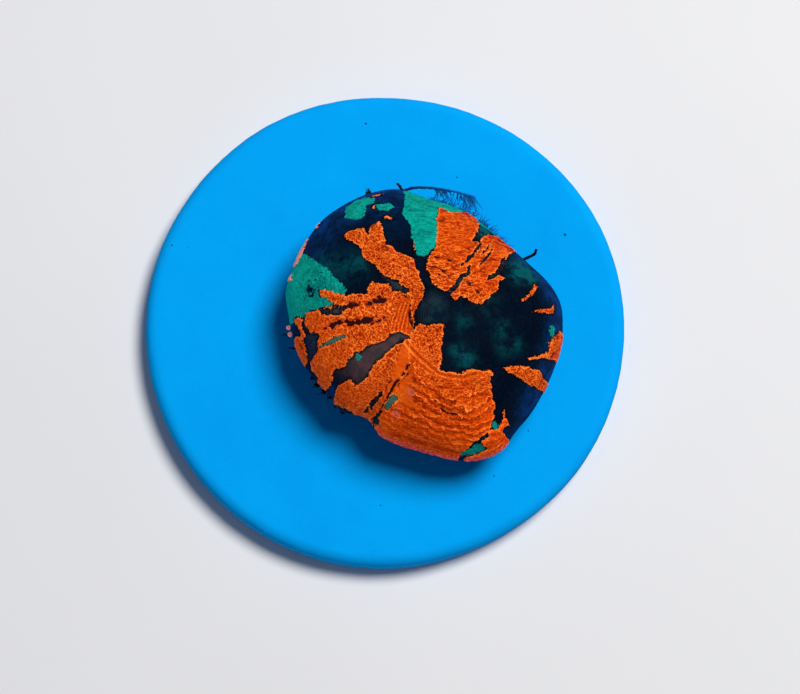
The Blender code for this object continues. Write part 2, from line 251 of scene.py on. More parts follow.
CREASES = {  # narrow clefts in the orange, carved and painted near-black maroon as painted shade
    "left_upper": ([(164.5, .53), (162, .44), (157, .36), (146, .28), (136, .235)], .33),
    "left_blot": ([(143, .275), (138, .265)], .42),
    "left_lower": ([
        (181.5, .745), (179.6, .653), (178.6, .575), (177.2, .53), (180.2, .487), (178.2, .40),
        (177.2, .357), (172, .30), (169, .272),
    ], .35),
    "left_lowest": ([(182.8, .342), (176.5, .266), (168.6, .205)], .19),
    "mouth_upper": ([(112, .225), (104, .20), (98, .165)], .13),
    "mouth_line": ([
        (86.9, .16), (87.6, .123), (90.9, .088), (91.4, .056), (85.6, .024), (304.8, .021),
    ], .16),
    "upper_arc_one": ([(73.9, .51), (69.1, .506), (64.2, .527), (58.8, .54), (52.1, .553)], .11),
    "upper_arc_two": ([(73, .416), (67.7, .435), (63.4, .441), (57.2, .443), (49.1, .444), (44, .445)], .12),
    "upper_arc_three": ([(63, .401), (55.6, .412), (48.4, .414)], .10),
    "right_arc": ([(40.7, .494), (32.5, .502), (25.3, .50), (21.7, .508)], .11),
    "right_thin": ([(47.4, .82), (45.6, .72)], .09),
    "bottom": ([
        (271.8, .337), (266.4, .391), (262.2, .453), (260.8, .501), (256.1, .573), (253.7, .631),
        (251.9, .738), (250.5, .817), (248.9, .89), (247.3, .958),
    ], .15),
    "bottom_side": ([(267.9, .431), (265.4, .48), (261, .53), (258.6, .60)], .11),
    "bottom_inner": ([(250.8, .58), (249, .66), (248.6, .72)], .09),
    "terrace_cleft": ([(288.5, .672), (291, .686), (293.9, .699), (297, .706), (300.5, .722)], .10),
}
SLATE_ROUTE = [(173.4, .88), (177.4, .86), (181.2, .866), (185.8, .873), (190.3, .885), (191.7, .916)]
SWEEP = [  # route of the smooth folds that run down from the mouth: degrees, share
    (250, .13), (261.4, .15), (273.3, .189), (283.3, .243), (291.4, .286), (298.5, .343), (301.4, .382),
    (307.8, .429), (314.2, .489), (320.2, .529), (326.9, .556),
]
GREEN_HOLES = [(158.5, .815, .55), (161, .79, .4), (154, .83, .22), (153, .78, .2), (151, .645, .2),
               (158, .77, .3), (148.5, .75, .14), (156.5, .69, .16)]
PURPLE_SPOTS = [(269.5, .60, .55), (260.5, .80, .6)]
GREEN_SPOTS = [(212, .60, .42)]
TEAL_GLOWS = [  # degrees, share, radius, strength
    (143, .78, 1.6, .7), (138, .62, 2.2, .6), (130, .52, 1.6, .6), (357, .58, 1.3, .8), (345, .64, 1.2, .5),
    (350, .71, 1.1, .6), (326, .45, 1.4, 1.1), (2, .33, 1.4, .5), (330, .36, 1.0, .8), (15, .50, 1.6, .5),
    (28, .85, 1.5, 2.7), (24, .88, 1.2, 1.5), (55, .92, 1.2, 2.6), (304.5, .905, .35, 2.5),
    (33, .93, 1.2, .6),
]
PINK_ZONES = [  # degrees from and to, softness, how pink the rim is there
    (252, 325, 4, .75), (37, 64, 3, .6), (124, 158, 3, 1.45), (341, 365, 3, .6),
]
BEADS = [(174.4, .38, 13.2, .36), (177.6, .38, 13.2, .38)]  # degrees, out from the rim, height, radius
TERRACE_START = [  # inner end of the terraced bottom area: degrees, share
    (250, .10), (262, .10), (270, .12), (280, .20), (290, .285), (300, .37), (310, .44), (320, .51),
    (330, .62), (345, .65),
]

# Algae at the rim: degrees, millimetres out from the rim, height.
STRAND_ROUTE = [
    (92.6, 0.2, 14.1), (89, 0.92, 14.5), (84.5, 1.68, 14.4), (79, 2.30, 14.1), (73, 2.75, 13.6),
    (68, 3.25, 13.0), (66, 3.45, 12.7),
]
STRAND_HAIRS = 70
STEMS = [  # CAD node, route, half widths at the root and the tip, seed
    ("algae_twig", [(92.3, -0.3, 13.4), (93.8, 0.77, 14.0), (94.8, 1.1, 14.4)], 0.22, 0.20, 63),
    ("algae_frond", [
        (36.3, -0.4, 12.6), (35.4, 1.39, 12.8), (35.0, 2.09, 13.2), (35.7, 2.6, 14.0),
    ], 0.25, 0.20, 64),
    ("algae_spine_upper", [(177.7, -0.4, 12.9), (177.7, 1.0, 12.9), (177.8, 1.65, 12.95)], 0.15, 0.11, 66),
    ("algae_spine_lower", [(184.4, -0.5, 12.6), (184.0, 0.75, 12.6), (183.6, 1.1, 12.6)], 0.15, 0.11, 67),
]
RING_GUIDE = np.array([0.21, 0.13, 0.97])  # a direction that no filament runs in
TUFT_HAIRS = 210
# Clumps: degrees, millimetres out, height, spread, number of hairs.
TUFT_CLUMPS = [
    (75.6, .9, 12.8, .22, 8), (72.6, .9, 12.8, .22, 8), (69.8, .8, 12.8, .22, 8), (62.6, .5, 12.6, .22, 8),
    (57.4, .5, 12.6, .25, 12), (53.6, .8, 12.6, .20, 8), (49.5, .5, 12.5, .20, 8),
]
FRINGE_CLUMPS = [
    (200.5, .25, 11.0, .20, 14), (205, .35, 11.1, .26, 30), (210, .35, 11.2, .28, 36),
    (215, .25, 11.2, .20, 14), (221, .20, 11.2, .16, 14), (227, .15, 11.2, .14, 12),
]
SPROUT_CLUMPS = [(106, .75, 13.5, .17, 14), (105.6, 1.05, 13.9, .15, 12)]

FLOOR_SIZE = 3.0  # metres, as are the lights' places
LIGHT_TARGET = (0.0, 0.0, 0.01)
CAMERA_TARGET = (2.4, -3.6, 6.0)
CAMERA_DISTANCE = 350.6
CAMERA_ELEVATION = 79.0


# ---------------------------------------------------------------- numbers

class Noise:
    """Smooth seeded noise in three dimensions, about -1 to 1."""

    def __init__(self, seed):
        draw = np.random.default_rng(seed)
        self.order = np.tile(draw.permutation(256), 2)
        gradients = draw.normal(size=(256, 3))
        self.gradients = gradients / np.linalg.norm(gradients, axis=1, keepdims=True)

    def __call__(self, points):
        cell = np.floor(points).astype(int)
        local = points - cell
        fade = local ** 3 * (local * (local * 6 - 15) + 10)
        total = np.zeros(len(points))
        for corner in itertools.product((0, 1), repeat=3):
            offset = np.array(corner)
            place = (cell + offset) & 255
            pick = self.order[self.order[self.order[place[:, 0]] + place[:, 1]] + place[:, 2]]
            weight = np.prod(np.where(offset == 1, fade, 1 - fade), axis=1)
            total += weight * np.sum(self.gradients[pick] * (local - offset), axis=1)
        return total * 1.6


def smooth_step(value, low, high):
    """0 below low, 1 above high, smooth between."""
    t = np.clip((value - low) / (high - low), 0.0, 1.0)
    return t * t * (3 - 2 * t)


def between(value, start, end, soft):
    """1 inside the range and 0 outside it, with soft ends."""
    return smooth_step(value, start - soft, start + soft) * (1 - smooth_step(value, end - soft, end + soft))


def catmull(before, start, end, after, t):
    """Catmull-Rom value between start and end."""
    return 0.5 * (
        2 * start + (end - before) * t
        + (2 * before - 5 * start + 4 * end - after) * t * t
        + (3 * start - before - 3 * end + after) * t ** 3
    )


def smooth_path(corners, steps):
    """Points on a smooth curve through the corners, steps to a leg."""
    corners = np.asarray(corners, float)
    last = len(corners) - 1
    points = []
    for i in range(last):
        near = corners[max(i - 1, 0)], corners[i], corners[i + 1], corners[min(i + 2, last)]
        points += [catmull(*near, step / steps) for step in range(steps)]
    points.append(corners[last])
    return np.array(points)


def travel(across, up):
    """Distance travelled along a path up to each of its points."""
    return np.concatenate([[0.0], np.cumsum(np.hypot(np.diff(across), np.diff(up)))])


def rim_table():
    """The rim's radius for every half degree."""
    count = len(RIM_POINTS)
    table = []
    for degrees in np.arange(0, 360, 0.5):
        for i, (start, radius) in enumerate(RIM_POINTS):
            end, end_radius = RIM_POINTS[(i + 1) % count]
            span = (end - start) % 360
            along = (degrees - start) % 360
            if along < span:
                before = RIM_POINTS[i - 1][1]
                after = RIM_POINTS[(i + 2) % count][1]
                table.append(catmull(before, radius, end_radius, after, along / span))
                break
    return np.array(table + table[:1])


RIM_TABLE = rim_table()


def rim_radius(degrees):
    """The rim's radius about the mouth."""
    return np.interp(np.asarray(degrees) % 360, np.arange(0, 360.25, 0.5), RIM_TABLE)


def polar(degrees, radius):
    """Flat offset from the mouth."""
    turn = np.radians(degrees)
    return np.stack([radius * np.cos(turn), radius * np.sin(turn)], axis=-1)


def flat_place(degrees, share):
    """Flat offset of a place on the flesh from the mouth."""
    return polar(degrees, np.asarray(share) * rim_radius(degrees))


def flat_gap(points, place):
    """Flat distance to a place."""
    return np.hypot(points[..., 0] - place[0], points[..., 1] - place[1])


def leg_gap(points, start, end):
    """Distance to a straight leg, and the share of the leg passed there."""
    leg = end - start
    t = np.clip((points - start) @ leg / (leg @ leg), 0, 1)
    gap = points - start - t[:, None] * leg
    return np.hypot(gap[:, 0], gap[:, 1]), t


def depth_inside(points, outline):
    """Distance to an outline of (degrees, share) corners, positive inside it."""
    corners = flat_place(*np.transpose(outline))
    nearest = np.full(len(points), 1e9)
    inside = np.zeros(len(points), bool)
    for start, end in zip(corners, np.roll(corners, -1, axis=0)):
        nearest = np.minimum(nearest, leg_gap(points, start, end)[0])
        crosses = (start[1] > points[:, 1]) != (end[1] > points[:, 1])
        if end[1] != start[1]:
            slope = (end[0] - start[0]) / (end[1] - start[1])
            inside ^= crosses & (points[:, 0] < start[0] + (points[:, 1] - start[1]) * slope)
    return np.where(inside, nearest, -nearest)


def route_gap(points, route):
    """Distance to a route of (degrees, share) corners, and the share of the route passed there."""
    corners = flat_place(*np.transpose(route))
    nearest = np.full(len(points), 1e9)
    passed = np.zeros(len(points))
    for i in range(len(corners) - 1):
        gap, t = leg_gap(points, corners[i], corners[i + 1])
        closer = gap < nearest
        nearest[closer] = gap[closer]
        passed[closer] = (i + t[closer]) / (len(corners) - 1)
    return nearest, passed


def greatest(values):
    """The greatest of several values at every point."""
    return np.max(list(values), axis=0)


def area_depth(points, areas):
    """Depth inside a group of outlined areas."""
    return greatest(depth_inside(points, outline) for outline in areas.values())


def spot_depth(points, spots):
    """Depth inside a group of round spots."""
    return greatest(
        radius - flat_gap(points, flat_place(degrees, share)) for degrees, share, radius in spots
    )


def route_depth(points, routes, uneven):
    """Depth inside a group of routes, whose half width shrinks at both ends and varies between."""
    depths = []
    for route, half_width in routes.values():
        gap, passed = route_gap(points, route)
        taper = 1 - 0.6 * (2 * passed - 1) ** 4
        depths.append(half_width * taper * (1 + uneven) - gap)
    return greatest(depths)


# ---------------------------------------------------------------- meshes

def make_piece(name, points, faces, material, node):
    """Smooth mesh object from points in millimetres, riding on the part in place of a CAD node."""
    mesh = bpy.data.meshes.new(name)
    mesh.from_pydata((np.asarray(points) * MM).tolist(), [], faces)
    mesh.validate()
    mesh.shade_smooth()
    mesh.materials.append(material)
    piece = bpy.data.objects.new(name, mesh)
    bpy.context.scene.collection.objects.link(piece)
    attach(piece, "root")
    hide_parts(node)
    return piece


def add_values(piece, name, values):
    """One number for every point of a piece, for its material to read."""
    attribute = piece.data.attributes.new(name, "FLOAT", "POINT")
    attribute.data.foreach_set("value", np.asarray(values, np.float32))


def add_vectors(piece, name, vectors):
    """One vector for every point of a piece, for its material to read."""
    attribute = piece.data.attributes.new(name, "FLOAT_VECTOR", "POINT")
    attribute.data.foreach_set("vector", np.asarray(vectors, np.float32).ravel())


def add_layout(piece, places):
    """Flat layout of the skin, one place for each point, stored as the OFBake map."""
    layer = piece.data.uv_layers.new(name="OFBake")
    corner_points = np.zeros(len(piece.data.loops), np.int32)
    piece.data.loops.foreach_get("vertex_index", corner_points)
    layer.data.foreach_set("uv", np.asarray(places, np.float32)[corner_points].ravel())


def ring_faces(lower, upper):
    """Quads between two rings of equal count, as lists of point numbers."""
    count = len(lower)
    return [(lower[i], lower[(i + 1) % count], upper[(i + 1) % count], upper[i]) for i in range(count)]


def stack_faces(levels, count):
    """Quads between rings of points that are stacked in order."""
    faces = []
    for first in range(0, (levels - 1) * count, count):
        faces += ring_faces(range(first, first + count), range(first + count, first + 2 * count))
    return faces


def closed_stack(rings, top_middle, low_middle):
    """Closed mesh over stacked rings, lowest first, with a point in the middle of each end."""
    count = len(rings[0])
    top = len(rings) * count
    faces = stack_faces(len(rings), count)
    faces += [(top - count + i, top - count + (i + 1) % count, top) for i in range(count)]
    faces += [(i, top + 1, (i + 1) % count) for i in range(count)]
    return np.vstack([*rings, top_middle, low_middle]), faces


def point_normals(points, faces):
    """Outward direction at every point."""
    quads = np.array([face if len(face) == 4 else (*face, face[2]) for face in faces])
    across = points[quads[:, 2]] - points[quads[:, 0]]
    along = points[quads[:, 3]] - points[quads[:, 1]]
    face_normals = np.cross(across, along)
    normals = np.zeros_like(points)
    for column in range(4):
        np.add.at(normals, quads[:, column], face_normals)
    return normals / np.maximum(np.linalg.norm(normals, axis=1, keepdims=True), 1e-12)


# ---------------------------------------------------------------- materials

class Value:
    """A number that a material's nodes work out, for use in plain sums."""

    def __init__(self, graph, socket):
        self.graph = graph
        self.socket = socket

    def __add__(self, other):
        return self.graph.math("ADD", self, other)

    def __sub__(self, other):
        return self.graph.math("SUBTRACT", self, other)

    def __mul__(self, other):
        return self.graph.math("MULTIPLY", self, other)


class Graph:
    """Short calls that add nodes to a material. Sizes are in millimetres."""

    def __init__(self, name):
        self.material = bpy.data.materials.new(name)
        self.material.use_nodes = True
        self.tree = self.material.node_tree
        self.shader = self.tree.nodes["Principled BSDF"]

    def node(self, kind, fed=(), **settings):
        """New node, with what its inputs are fed."""
        node = self.tree.nodes.new(kind)
        for key, value in settings.items():
            setattr(node, key, value)
        for key, value in fed:
            self.feed(node.inputs[key], value)
        return node

    def feed(self, socket, value):
        """Link a result to a socket, or set the socket's own constant."""
        if isinstance(value, Value):
            value = value.socket
        if isinstance(value, bpy.types.NodeSocket):
            self.tree.links.new(value, socket)
        else:
            socket.default_value = value

    def math(self, operation, first, second=0.0):
        """Sum, product or other simple result of one or two values."""
        node = self.node("ShaderNodeMath", enumerate((first, second)), operation=operation)
        return Value(self, node.outputs["Value"])

    def step(self, value, low, high, to_low=0.0, to_high=1.0):
        """Smooth step from one level to another as the value rises."""
        keys = "Value", "From Min", "From Max", "To Min", "To Max"
        fed = zip(keys, (value, low, high, to_low, to_high))
        node = self.node("ShaderNodeMapRange", fed, interpolation_type="SMOOTHSTEP")
        return Value(self, node.outputs["Result"])

    def mix(self, share, first, second):
        """Colour between two colours."""
        fed = [("Factor", share)]
        for key, colour in (("A", first), ("B", second)):
            fed.append((key, (*colour, 1.0) if isinstance(colour, tuple) else colour))
        return self.node("ShaderNodeMix", fed, data_type="RGBA").outputs["Result"]

    def cover(self, colour, *layers):
        """Colour with (share, colour) layers laid over it in turn."""
        for share, over in layers:
            colour = self.mix(share, colour, over)
        return colour

    def ramp(self, value, stops):
        """Colour from (place, colour) stops."""
        node = self.node("ShaderNodeValToRGB", [("Fac", value)])
        elements = node.color_ramp.elements
        while len(elements) < len(stops):
            elements.new(1.0)
        for element, (place, colour) in zip(elements, stops):
            element.position = place
            element.color = (*colour, 1.0)
        return node.outputs["Color"]

    def read(self, name, output="Fac"):
        """What the mesh stores at each point under a name."""
        socket = self.node("ShaderNodeAttribute", attribute_name=name).outputs[output]
        return Value(self, socket)

    def place(self):
        """Place of the shaded point."""
        return self.node("ShaderNodeTexCoord").outputs["Object"]

    def gap_to(self, point):
        """Distance from the shaded point to another."""
        fed = ((0, self.place()), (1, point))
        return Value(self, self.node("ShaderNodeVectorMath", fed, operation="DISTANCE").outputs["Value"])

    def noise(self, wavelength, detail, roughness, place=None, unit=MM, output="Fac"):
        """Soft cloudy variation, about 0.2 to 0.8."""
        settings = 1.0 / (wavelength * unit), detail, roughness, place or self.place()
        fed = zip(("Scale", "Detail", "Roughness", "Vector"), settings)
        return Value(self, self.node("ShaderNodeTexNoise", fed).outputs[output])

    def bend(self, place, wavelength, amount, unit=MM):
        """The place, pushed about by up to half the amount."""
        sway = self.noise(wavelength, 0.0, 0.5, place, unit, "Color")
        fed = enumerate((sway, (amount * unit,) * 3, place))
        return self.node("ShaderNodeVectorMath", fed, operation="MULTIPLY_ADD").outputs["Vector"]

    def cells(self, size):
        """Distance to the nearest of many scattered points, in shares of their usual spacing."""
        fed = (("Scale", 1.0 / (size * MM)), ("Vector", self.place()))
        return Value(self, self.node("ShaderNodeTexVoronoi", fed).outputs["Distance"])

    def finish(self, colour, roughness, specular, bumps, glow=0.0):
        """Feed the shader. Bumps are (height, depth, strength), coarsest first."""
        inputs = self.shader.inputs
        self.feed(inputs["Base Color"], colour)
        self.feed(inputs["Roughness"], roughness)
        inputs["Specular IOR Level"].default_value = specular
        if glow:
            self.feed(inputs["Emission Color"], colour)
            inputs["Emission Strength"].default_value = glow
        below = inputs["Normal"]
        for height, depth, strength in reversed(bumps):
            fed = (("Strength", strength), ("Distance", depth * MM), ("Height", height))
            bump = self.node("ShaderNodeBump", fed)
            self.tree.links.new(bump.outputs["Normal"], below)
            below = bump.inputs["Normal"]
        return self.material


ORANGE_STOPS = [
    (0.0, (0.085, 0.004, 0.001)), (0.20, (0.15, 0.007, 0.001)), (0.40, (0.33, 0.022, 0.001)),
    (0.58, (0.455, 0.043, 0.002)), (0.76, (0.625, 0.079, 0.003)), (1.0, (0.89, 0.215, 0.03)),
]
FLESH_PAINTED_GLOW = 0.28  # share of its own colour that the skin gives off as painted glow, though it is no lamp, evening out its shading


def flesh_strands(graph):
    """Fine strands of the skin: distance off them, their share, and the share of the hollows between them,
    where the crust gets painted shade.
    """
    read, step, noise, bend = graph.read, graph.step, graph.noise, graph.bend
    winding = noise(0.38, 0.0, 0.5, bend(graph.place(), 0.8, 0.4))
    loose = noise(0.50, 0.0, 0.5, bend(graph.place(), 1.0, 0.6))
    winding = winding + (loose - winding) * read("loose")
    around = noise(1.0, 0.0, 0.5, bend(read("fan", "Vector"), 2.4, 1.3, unit=1.0), unit=1.0)
    both = winding + (around - winding) * read("banded")
    off_line = graph.math("ABSOLUTE", both * 2.0 - 1.0) * read("evening")
    strand = step(off_line, 0.03, 0.19, 1.0, 0.0) * read("strands")
    hollow = step(off_line, 0.30, 0.66) * read("strands")
    return off_line, strand, hollow


def dark_skin(graph, broad, fine, strand, crust_edge_shadow):
    """Navy skin with teal glows, the mouth's lobe, a maroon wedge, slate slits, and painted shadow beside
    the crust's raised edge.
    """
    read, step, mix = graph.read, graph.step, graph.mix
    navy = graph.ramp(read("tissue"), [
        (0.0, (0.0006, 0.0026, 0.0075)), (0.40, (0.0004, 0.0072, 0.025)), (1.0, (0.0004, 0.03, 0.15)),
    ])
    wisps = graph.noise(1.5, 4.0, 0.70)
    patches = graph.noise(1.5, 3.0, 0.6)
    glow = read("glow") * step(wisps, 0.36, 0.64, 0.10, 2.2)
    arcs = graph.math("SINE", read("arcs") * (2 * math.pi) + wisps * 9.0)
    arcs = step(arcs, -0.6, 1.0) * step(read("arcs"), 4.0, 8.5)
    lobe = mix(step(wisps, 0.40, 0.60), (0.0022, 0.0075, 0.019), (0.005, 0.022, 0.03))
    return graph.cover(
        navy,
        (step(broad, 0.42, 0.60, 0.0, 0.60), (0.0008, 0.0018, 0.0072)),
        (strand * 0.10, (0.002, 0.03, 0.06)),
        (glow * 0.42, (0.0006, 0.062, 0.076)),
        (read("lobe"), mix(arcs * 0.28, lobe, (0.034, 0.04, 0.038))),
        (read("wedge"), mix(step(patches, 0.38, 0.60), (0.076, 0.036, 0.037), (0.037, 0.029, 0.034))),
        (read("slate"), mix(step(fine, 0.38, 0.62), (0.006, 0.005, 0.012), (0.025, 0.036, 0.04))),
        # Painted shadow of the crust's raised edge.
        (crust_edge_shadow, (0.0035, 0.001, 0.003)),
    )


def green_skin(graph, speckle, off_line, strand):
    """Green skin, lighter and darker in places."""
    tone = graph.read("green_tone")
    return graph.cover(
        graph.mix(speckle, (0.0006, 0.19, 0.148), (0.001, 0.275, 0.215)),
        (graph.step(tone, 0.0, 0.6, 0.55, 0.0), (0.0006, 0.086, 0.085)),
        # Lighter green where the tone is high, which carries the painted light on the left rim.
        (graph.step(tone, 0.7, 1.3, 0.0, 0.6), (0.0015, 0.33, 0.27)),
        (graph.step(off_line, 0.16, 0.50) * 0.32, (0.0006, 0.08, 0.07)),
        (strand * 0.40, (0.008, 0.42, 0.32)),
    )


def orange_tone(graph, fine, grain, strand, hollow, edge_highlight, fold, fold_share):
    """How light the crust is, with its strands, painted shade in the hollows between them, painted
    highlights along its edges, and painted highlights and shade on its smooth folds and terraces.
    """
    # Each terrace has a painted highlight along its edge and painted shade in the cleft below it.
    tread = graph.math("FRACT", fine * 0.60 + graph.read("terraces"))
    terrace_share = graph.read("terrace_share")
    tone = graph.read("tone") + (strand * 0.42 - 0.09)
    for feature, amount in (
        # Painted shade in the hollows between the strands.
        (hollow, -0.28),
        # Painted highlight along the crust's edge.
        (edge_highlight, 0.32),
        (graph.step(tread, 0.78, 0.92) * terrace_share, 0.32),
        (graph.step(tread, 0.04, 0.34, 1.0, 0.0) * terrace_share, -0.36),
        # Painted highlight on the crests of the smooth folds and painted shade in their troughs.
        (graph.step(fold, 0.55, 1.0) * fold_share, 0.30),
        (graph.step(fold, -1.0, -0.70, 1.0, 0.0) * fold_share, -0.26),
    ):
        tone = feature * amount + tone
    return tone + (grain * 0.12 - 0.06)


def orange_crust(graph, tone, strand, small_noise):
    """Crust, pink where it turns under at the rim, with painted light on its shaded sides, purple spots, and
    painted shade in its arched clefts and creases.
    """
    read, step, mix = graph.read, graph.step, graph.mix
    rim = read("rim")
    pink = mix(strand, (0.56, 0.036, 0.032), (0.98, 0.18, 0.15))
    return graph.cover(
        graph.ramp(tone, ORANGE_STOPS),
        # Painted light that brightens the crust on its shaded left and lower sides.
        (read("painted_light"), (0.86, 0.078, 0.003)),
        (rim, mix(step(rim, 1.0, 1.5), pink, (0.86, 0.30, 0.24))),
        (read("purple"), (0.46, 0.11, 0.10)),
        # Painted shade in short arched clefts.
        (step(read("arch") + small_noise, -0.02, 0.05, 0.0, 0.8), (0.14, 0.009, 0.004)),
        # Painted shade in the carved creases.
        (step(small_noise * 3.2 + read("cleft"), -0.05, 0.06), (0.026, 0.004, 0.005)),
    )


def flesh_material():
    """Living skin: orange crusts over dark and green skin."""
    graph = Graph("coral_flesh")
    read, step = graph.read, graph.step
    fine = graph.noise(0.40, 2.0, 0.6)
    grain = graph.noise(0.16, 2.0, 0.6)
    broad = graph.noise(2.6, 3.0, 0.55)
    off_line, strand, hollow = flesh_strands(graph)
    small_noise = fine * 0.16 - 0.08
    edge_noise = (fine * 0.64 - 0.32) + (strand * 0.08 - 0.03)
    depth = read("orange") + edge_noise
    # Painted highlight along the raised edge of the crust.
    edge_highlight = step(depth, 0.0, 0.06) * step(depth, 0.08, 0.20, 1.0, 0.0)
    # Painted shadow of the crust's raised edge on the skin beside it.
    crust_edge_shadow = step(read("orange") + small_noise, -0.45, -0.10) * 0.75
    speckle = step(grain, 0.30, 0.75)
    muted = graph.mix(speckle, (0.036, 0.073, 0.052), (0.06, 0.165, 0.115))

    # Smooth parallel folds beside the mouth and below it.
    fold = graph.math("COSINE", read("folds") * (2 * math.pi) + (broad * 5.0 - 2.5))
    fold_share = read("fold_share")
    tone = orange_tone(graph, fine, grain, strand, hollow, edge_highlight, fold, fold_share)
    colour = graph.cover(
        dark_skin(graph, broad, fine, strand, crust_edge_shadow),
        (step(read("green") + edge_noise, -0.05, 0.07), green_skin(graph, speckle, off_line, strand)),
        (step(read("muted") + edge_noise, -0.06, 0.08), muted),
        (step(depth, -0.03, 0.04), orange_crust(graph, tone, strand, small_noise)),
    )
    raised = step(off_line, 0.0, 0.40, 1.0, 0.0) * read("strands")
    raised = raised * step(depth, -0.03, 0.08, 0.15, 1.0) + fold * fold_share * 0.5
    bumps = [(raised, 0.07, 0.8), (fine, 0.03, 0.5), (grain, 0.02, 0.6)]
    # The skin gives off its own colour as painted glow, which evens out its shading.
    return graph.finish(colour, step(fine, 0.2, 0.8, 0.48, 0.66), 0.01, bumps, FLESH_PAINTED_GLOW)


def bead_material():
    """Pale pink flesh."""
    graph = Graph("rim_bead")
    fine = graph.noise(0.25, 3.0, 0.6)
    colour = graph.mix(graph.step(fine, 0.35, 0.65), (0.78, 0.20, 0.20), (1.0, 0.48, 0.44))
    roughness = graph.step(fine, 0.2, 0.8, 0.45, 0.65)
    # The beads give off their own colour as painted glow, like the skin.
    return graph.finish(colour, roughness, 0.05, [(fine, 0.05, 0.7)], FLESH_PAINTED_GLOW)


def ceramic_material():
    """Matt cast ceramic, slightly mottled, with a few dark specks."""
    graph = Graph("ceramic_disc")
    broad = graph.noise(9.0, 4.0, 0.6)
    fine = graph.noise(0.5, 4.0, 0.65)
    pits = graph.cells(1.3)
    colour = graph.ramp(broad, [
        (0.25, (0.0008, 0.345, 0.86)), (0.55, (0.0008, 0.368, 0.89)), (0.80, (0.0009, 0.39, 0.905)),
    ])
    colour = graph.mix(graph.step(fine, 0.35, 0.7, 0.10, 0.0), colour, (0.0006, 0.27, 0.76))
    colour = graph.mix(graph.step(pits, 0.04, 0.10, 0.22, 0.0), colour, (0.0008, 0.18, 0.56))
    for x, y, radius in DISC_SPECKS:
        gap = fine * (2 * SPECK_WOBBLE * MM) + graph.gap_to((x * MM, y * MM, DISC_TOP * MM))
        low, high = (SPECK_WOBBLE + 0.5 * radius) * MM, (SPECK_WOBBLE + 1.6 * radius) * MM
        colour = graph.mix(graph.step(gap, low, high, 1.0, 0.0), colour, (0.001, 0.06, 0.21))
    bumps = [(graph.step(pits, 0.02, 0.12), 0.04, 0.5), (fine, 0.05, 0.6)]
    return graph.finish(colour, graph.step(fine, 0.2, 0.8, 0.70, 0.86), 0.01, bumps)


def foot_material():
    """Stony base, coloured very dark and mottled."""
    graph = Graph("stony_foot")
    broad = graph.noise(1.9, 5.0, 0.65)
    fine = graph.noise(0.3, 4.0, 0.6)
    colour = graph.ramp(broad, [
        (0.25, (0.001, 0.0035, 0.009)), (0.5, (0.004, 0.012, 0.026)), (0.8, (0.03, 0.042, 0.048)),
    ])
    colour = graph.mix(graph.step(fine, 0.45, 0.75, 0.0, 0.6), colour, (0.0008, 0.003, 0.006))
    bumps = [(broad, 0.35, 0.8), (fine, 0.08, 0.8)]
    return graph.finish(colour, graph.step(broad, 0.3, 0.7, 0.75, 0.92), 0.15, bumps)


def algae_material(name, dark, light, tip=None):
    """Soft filaments, nearly black with a blue or green cast, that may pale towards their tips."""
    graph = Graph(name)
    broad = graph.noise(0.9, 4.0, 0.6)
    fine = graph.noise(0.12, 3.0, 0.6)
    colour = graph.mix(graph.step(broad, 0.35, 0.7), dark, light)
    colour = graph.mix(graph.step(fine, 0.5, 0.8, 0.0, 0.5), colour, tuple(value * 0.4 for value in dark))
    if tip:
        colour = graph.mix(graph.step(graph.read("tip"), 0.2, 1.0), colour, tip)
    return graph.finish(colour, graph.step(fine, 0.2, 0.8, 0.6, 0.8), 0.15, [(fine, 0.04, 0.8)])


# ---------------------------------------------------------------- frag disc

def disc_outline(turn):
    """The disc's outer radius in one direction."""
    wave = sum(depth * np.cos(lobes * turn - math.radians(phase)) for lobes, depth, phase in DISC_WAVES)
    return DISC_RADIUS + wave


def disc_profile():
    """(inset from the outline, height) pairs from the edge of the underside to near the top's middle."""
    profile = []
    for turn in np.linspace(0, math.pi / 2, 8):
        inset = DISC_FOOT_ROUNDING * (1 - math.sin(turn))
        profile.append((inset, DISC_FOOT_ROUNDING * (1 - math.cos(turn))))
    for height in np.linspace(1.3, 3.7, 7):
        profile.append((0.0, height))
    for turn in np.linspace(0, math.pi / 2, 14):
        inset = DISC_TOP_ROUNDING * (1 - math.cos(turn))
        profile.append((inset, DISC_TOP - DISC_TOP_ROUNDING * (1 - math.sin(turn))))
    for inset in np.linspace(2.5, 37.4, 62):
        profile.append((inset, DISC_TOP))
    return profile


def build_disc():
    """Cast ceramic plate with a slightly uneven hand-made surface."""
    degrees = np.linspace(0, 360, DISC_SEGMENTS, endpoint=False)
    outline = disc_outline(np.radians(degrees))
    profile = np.array(disc_profile())
    rings = []
    for inset, height in profile:
        ring = polar(degrees, np.maximum(outline - inset * outline / DISC_RADIUS, 0.2))
        rings.append(np.column_stack([ring, np.full(DISC_SEGMENTS, height)]))
    points, faces = closed_stack(rings, [0, 0, DISC_TOP], [0, 0, 0])

    rise = 0.05 * Noise(11)(points / 7.0) + 0.025 * Noise(12)(points / 2.4)
    edge = smooth_step(np.hypot(points[:, 0], points[:, 1]), 34.0, 37.5)
    rise += edge * 0.05 * Noise(13)(points / 1.3)
    rise *= smooth_step(points[:, 2], 0.3, 1.2)
    points = points + point_normals(points, faces) * np.minimum(rise, 0.04)[:, None]

    material = ceramic_material()
    piece = make_piece("ceramic_disc_body", points, faces, material, "ceramic_disc")
    travelled = travel(*profile.T)
    total = travelled[-1] + 1.0
    places = [0.5 + 0.46 * polar(degrees, (total - distance) / total) for distance in travelled]
    add_layout(piece, np.vstack([*places, [0.5, 0.5], [0.99, 0.99]]))


# ---------------------------------------------------------------- coral

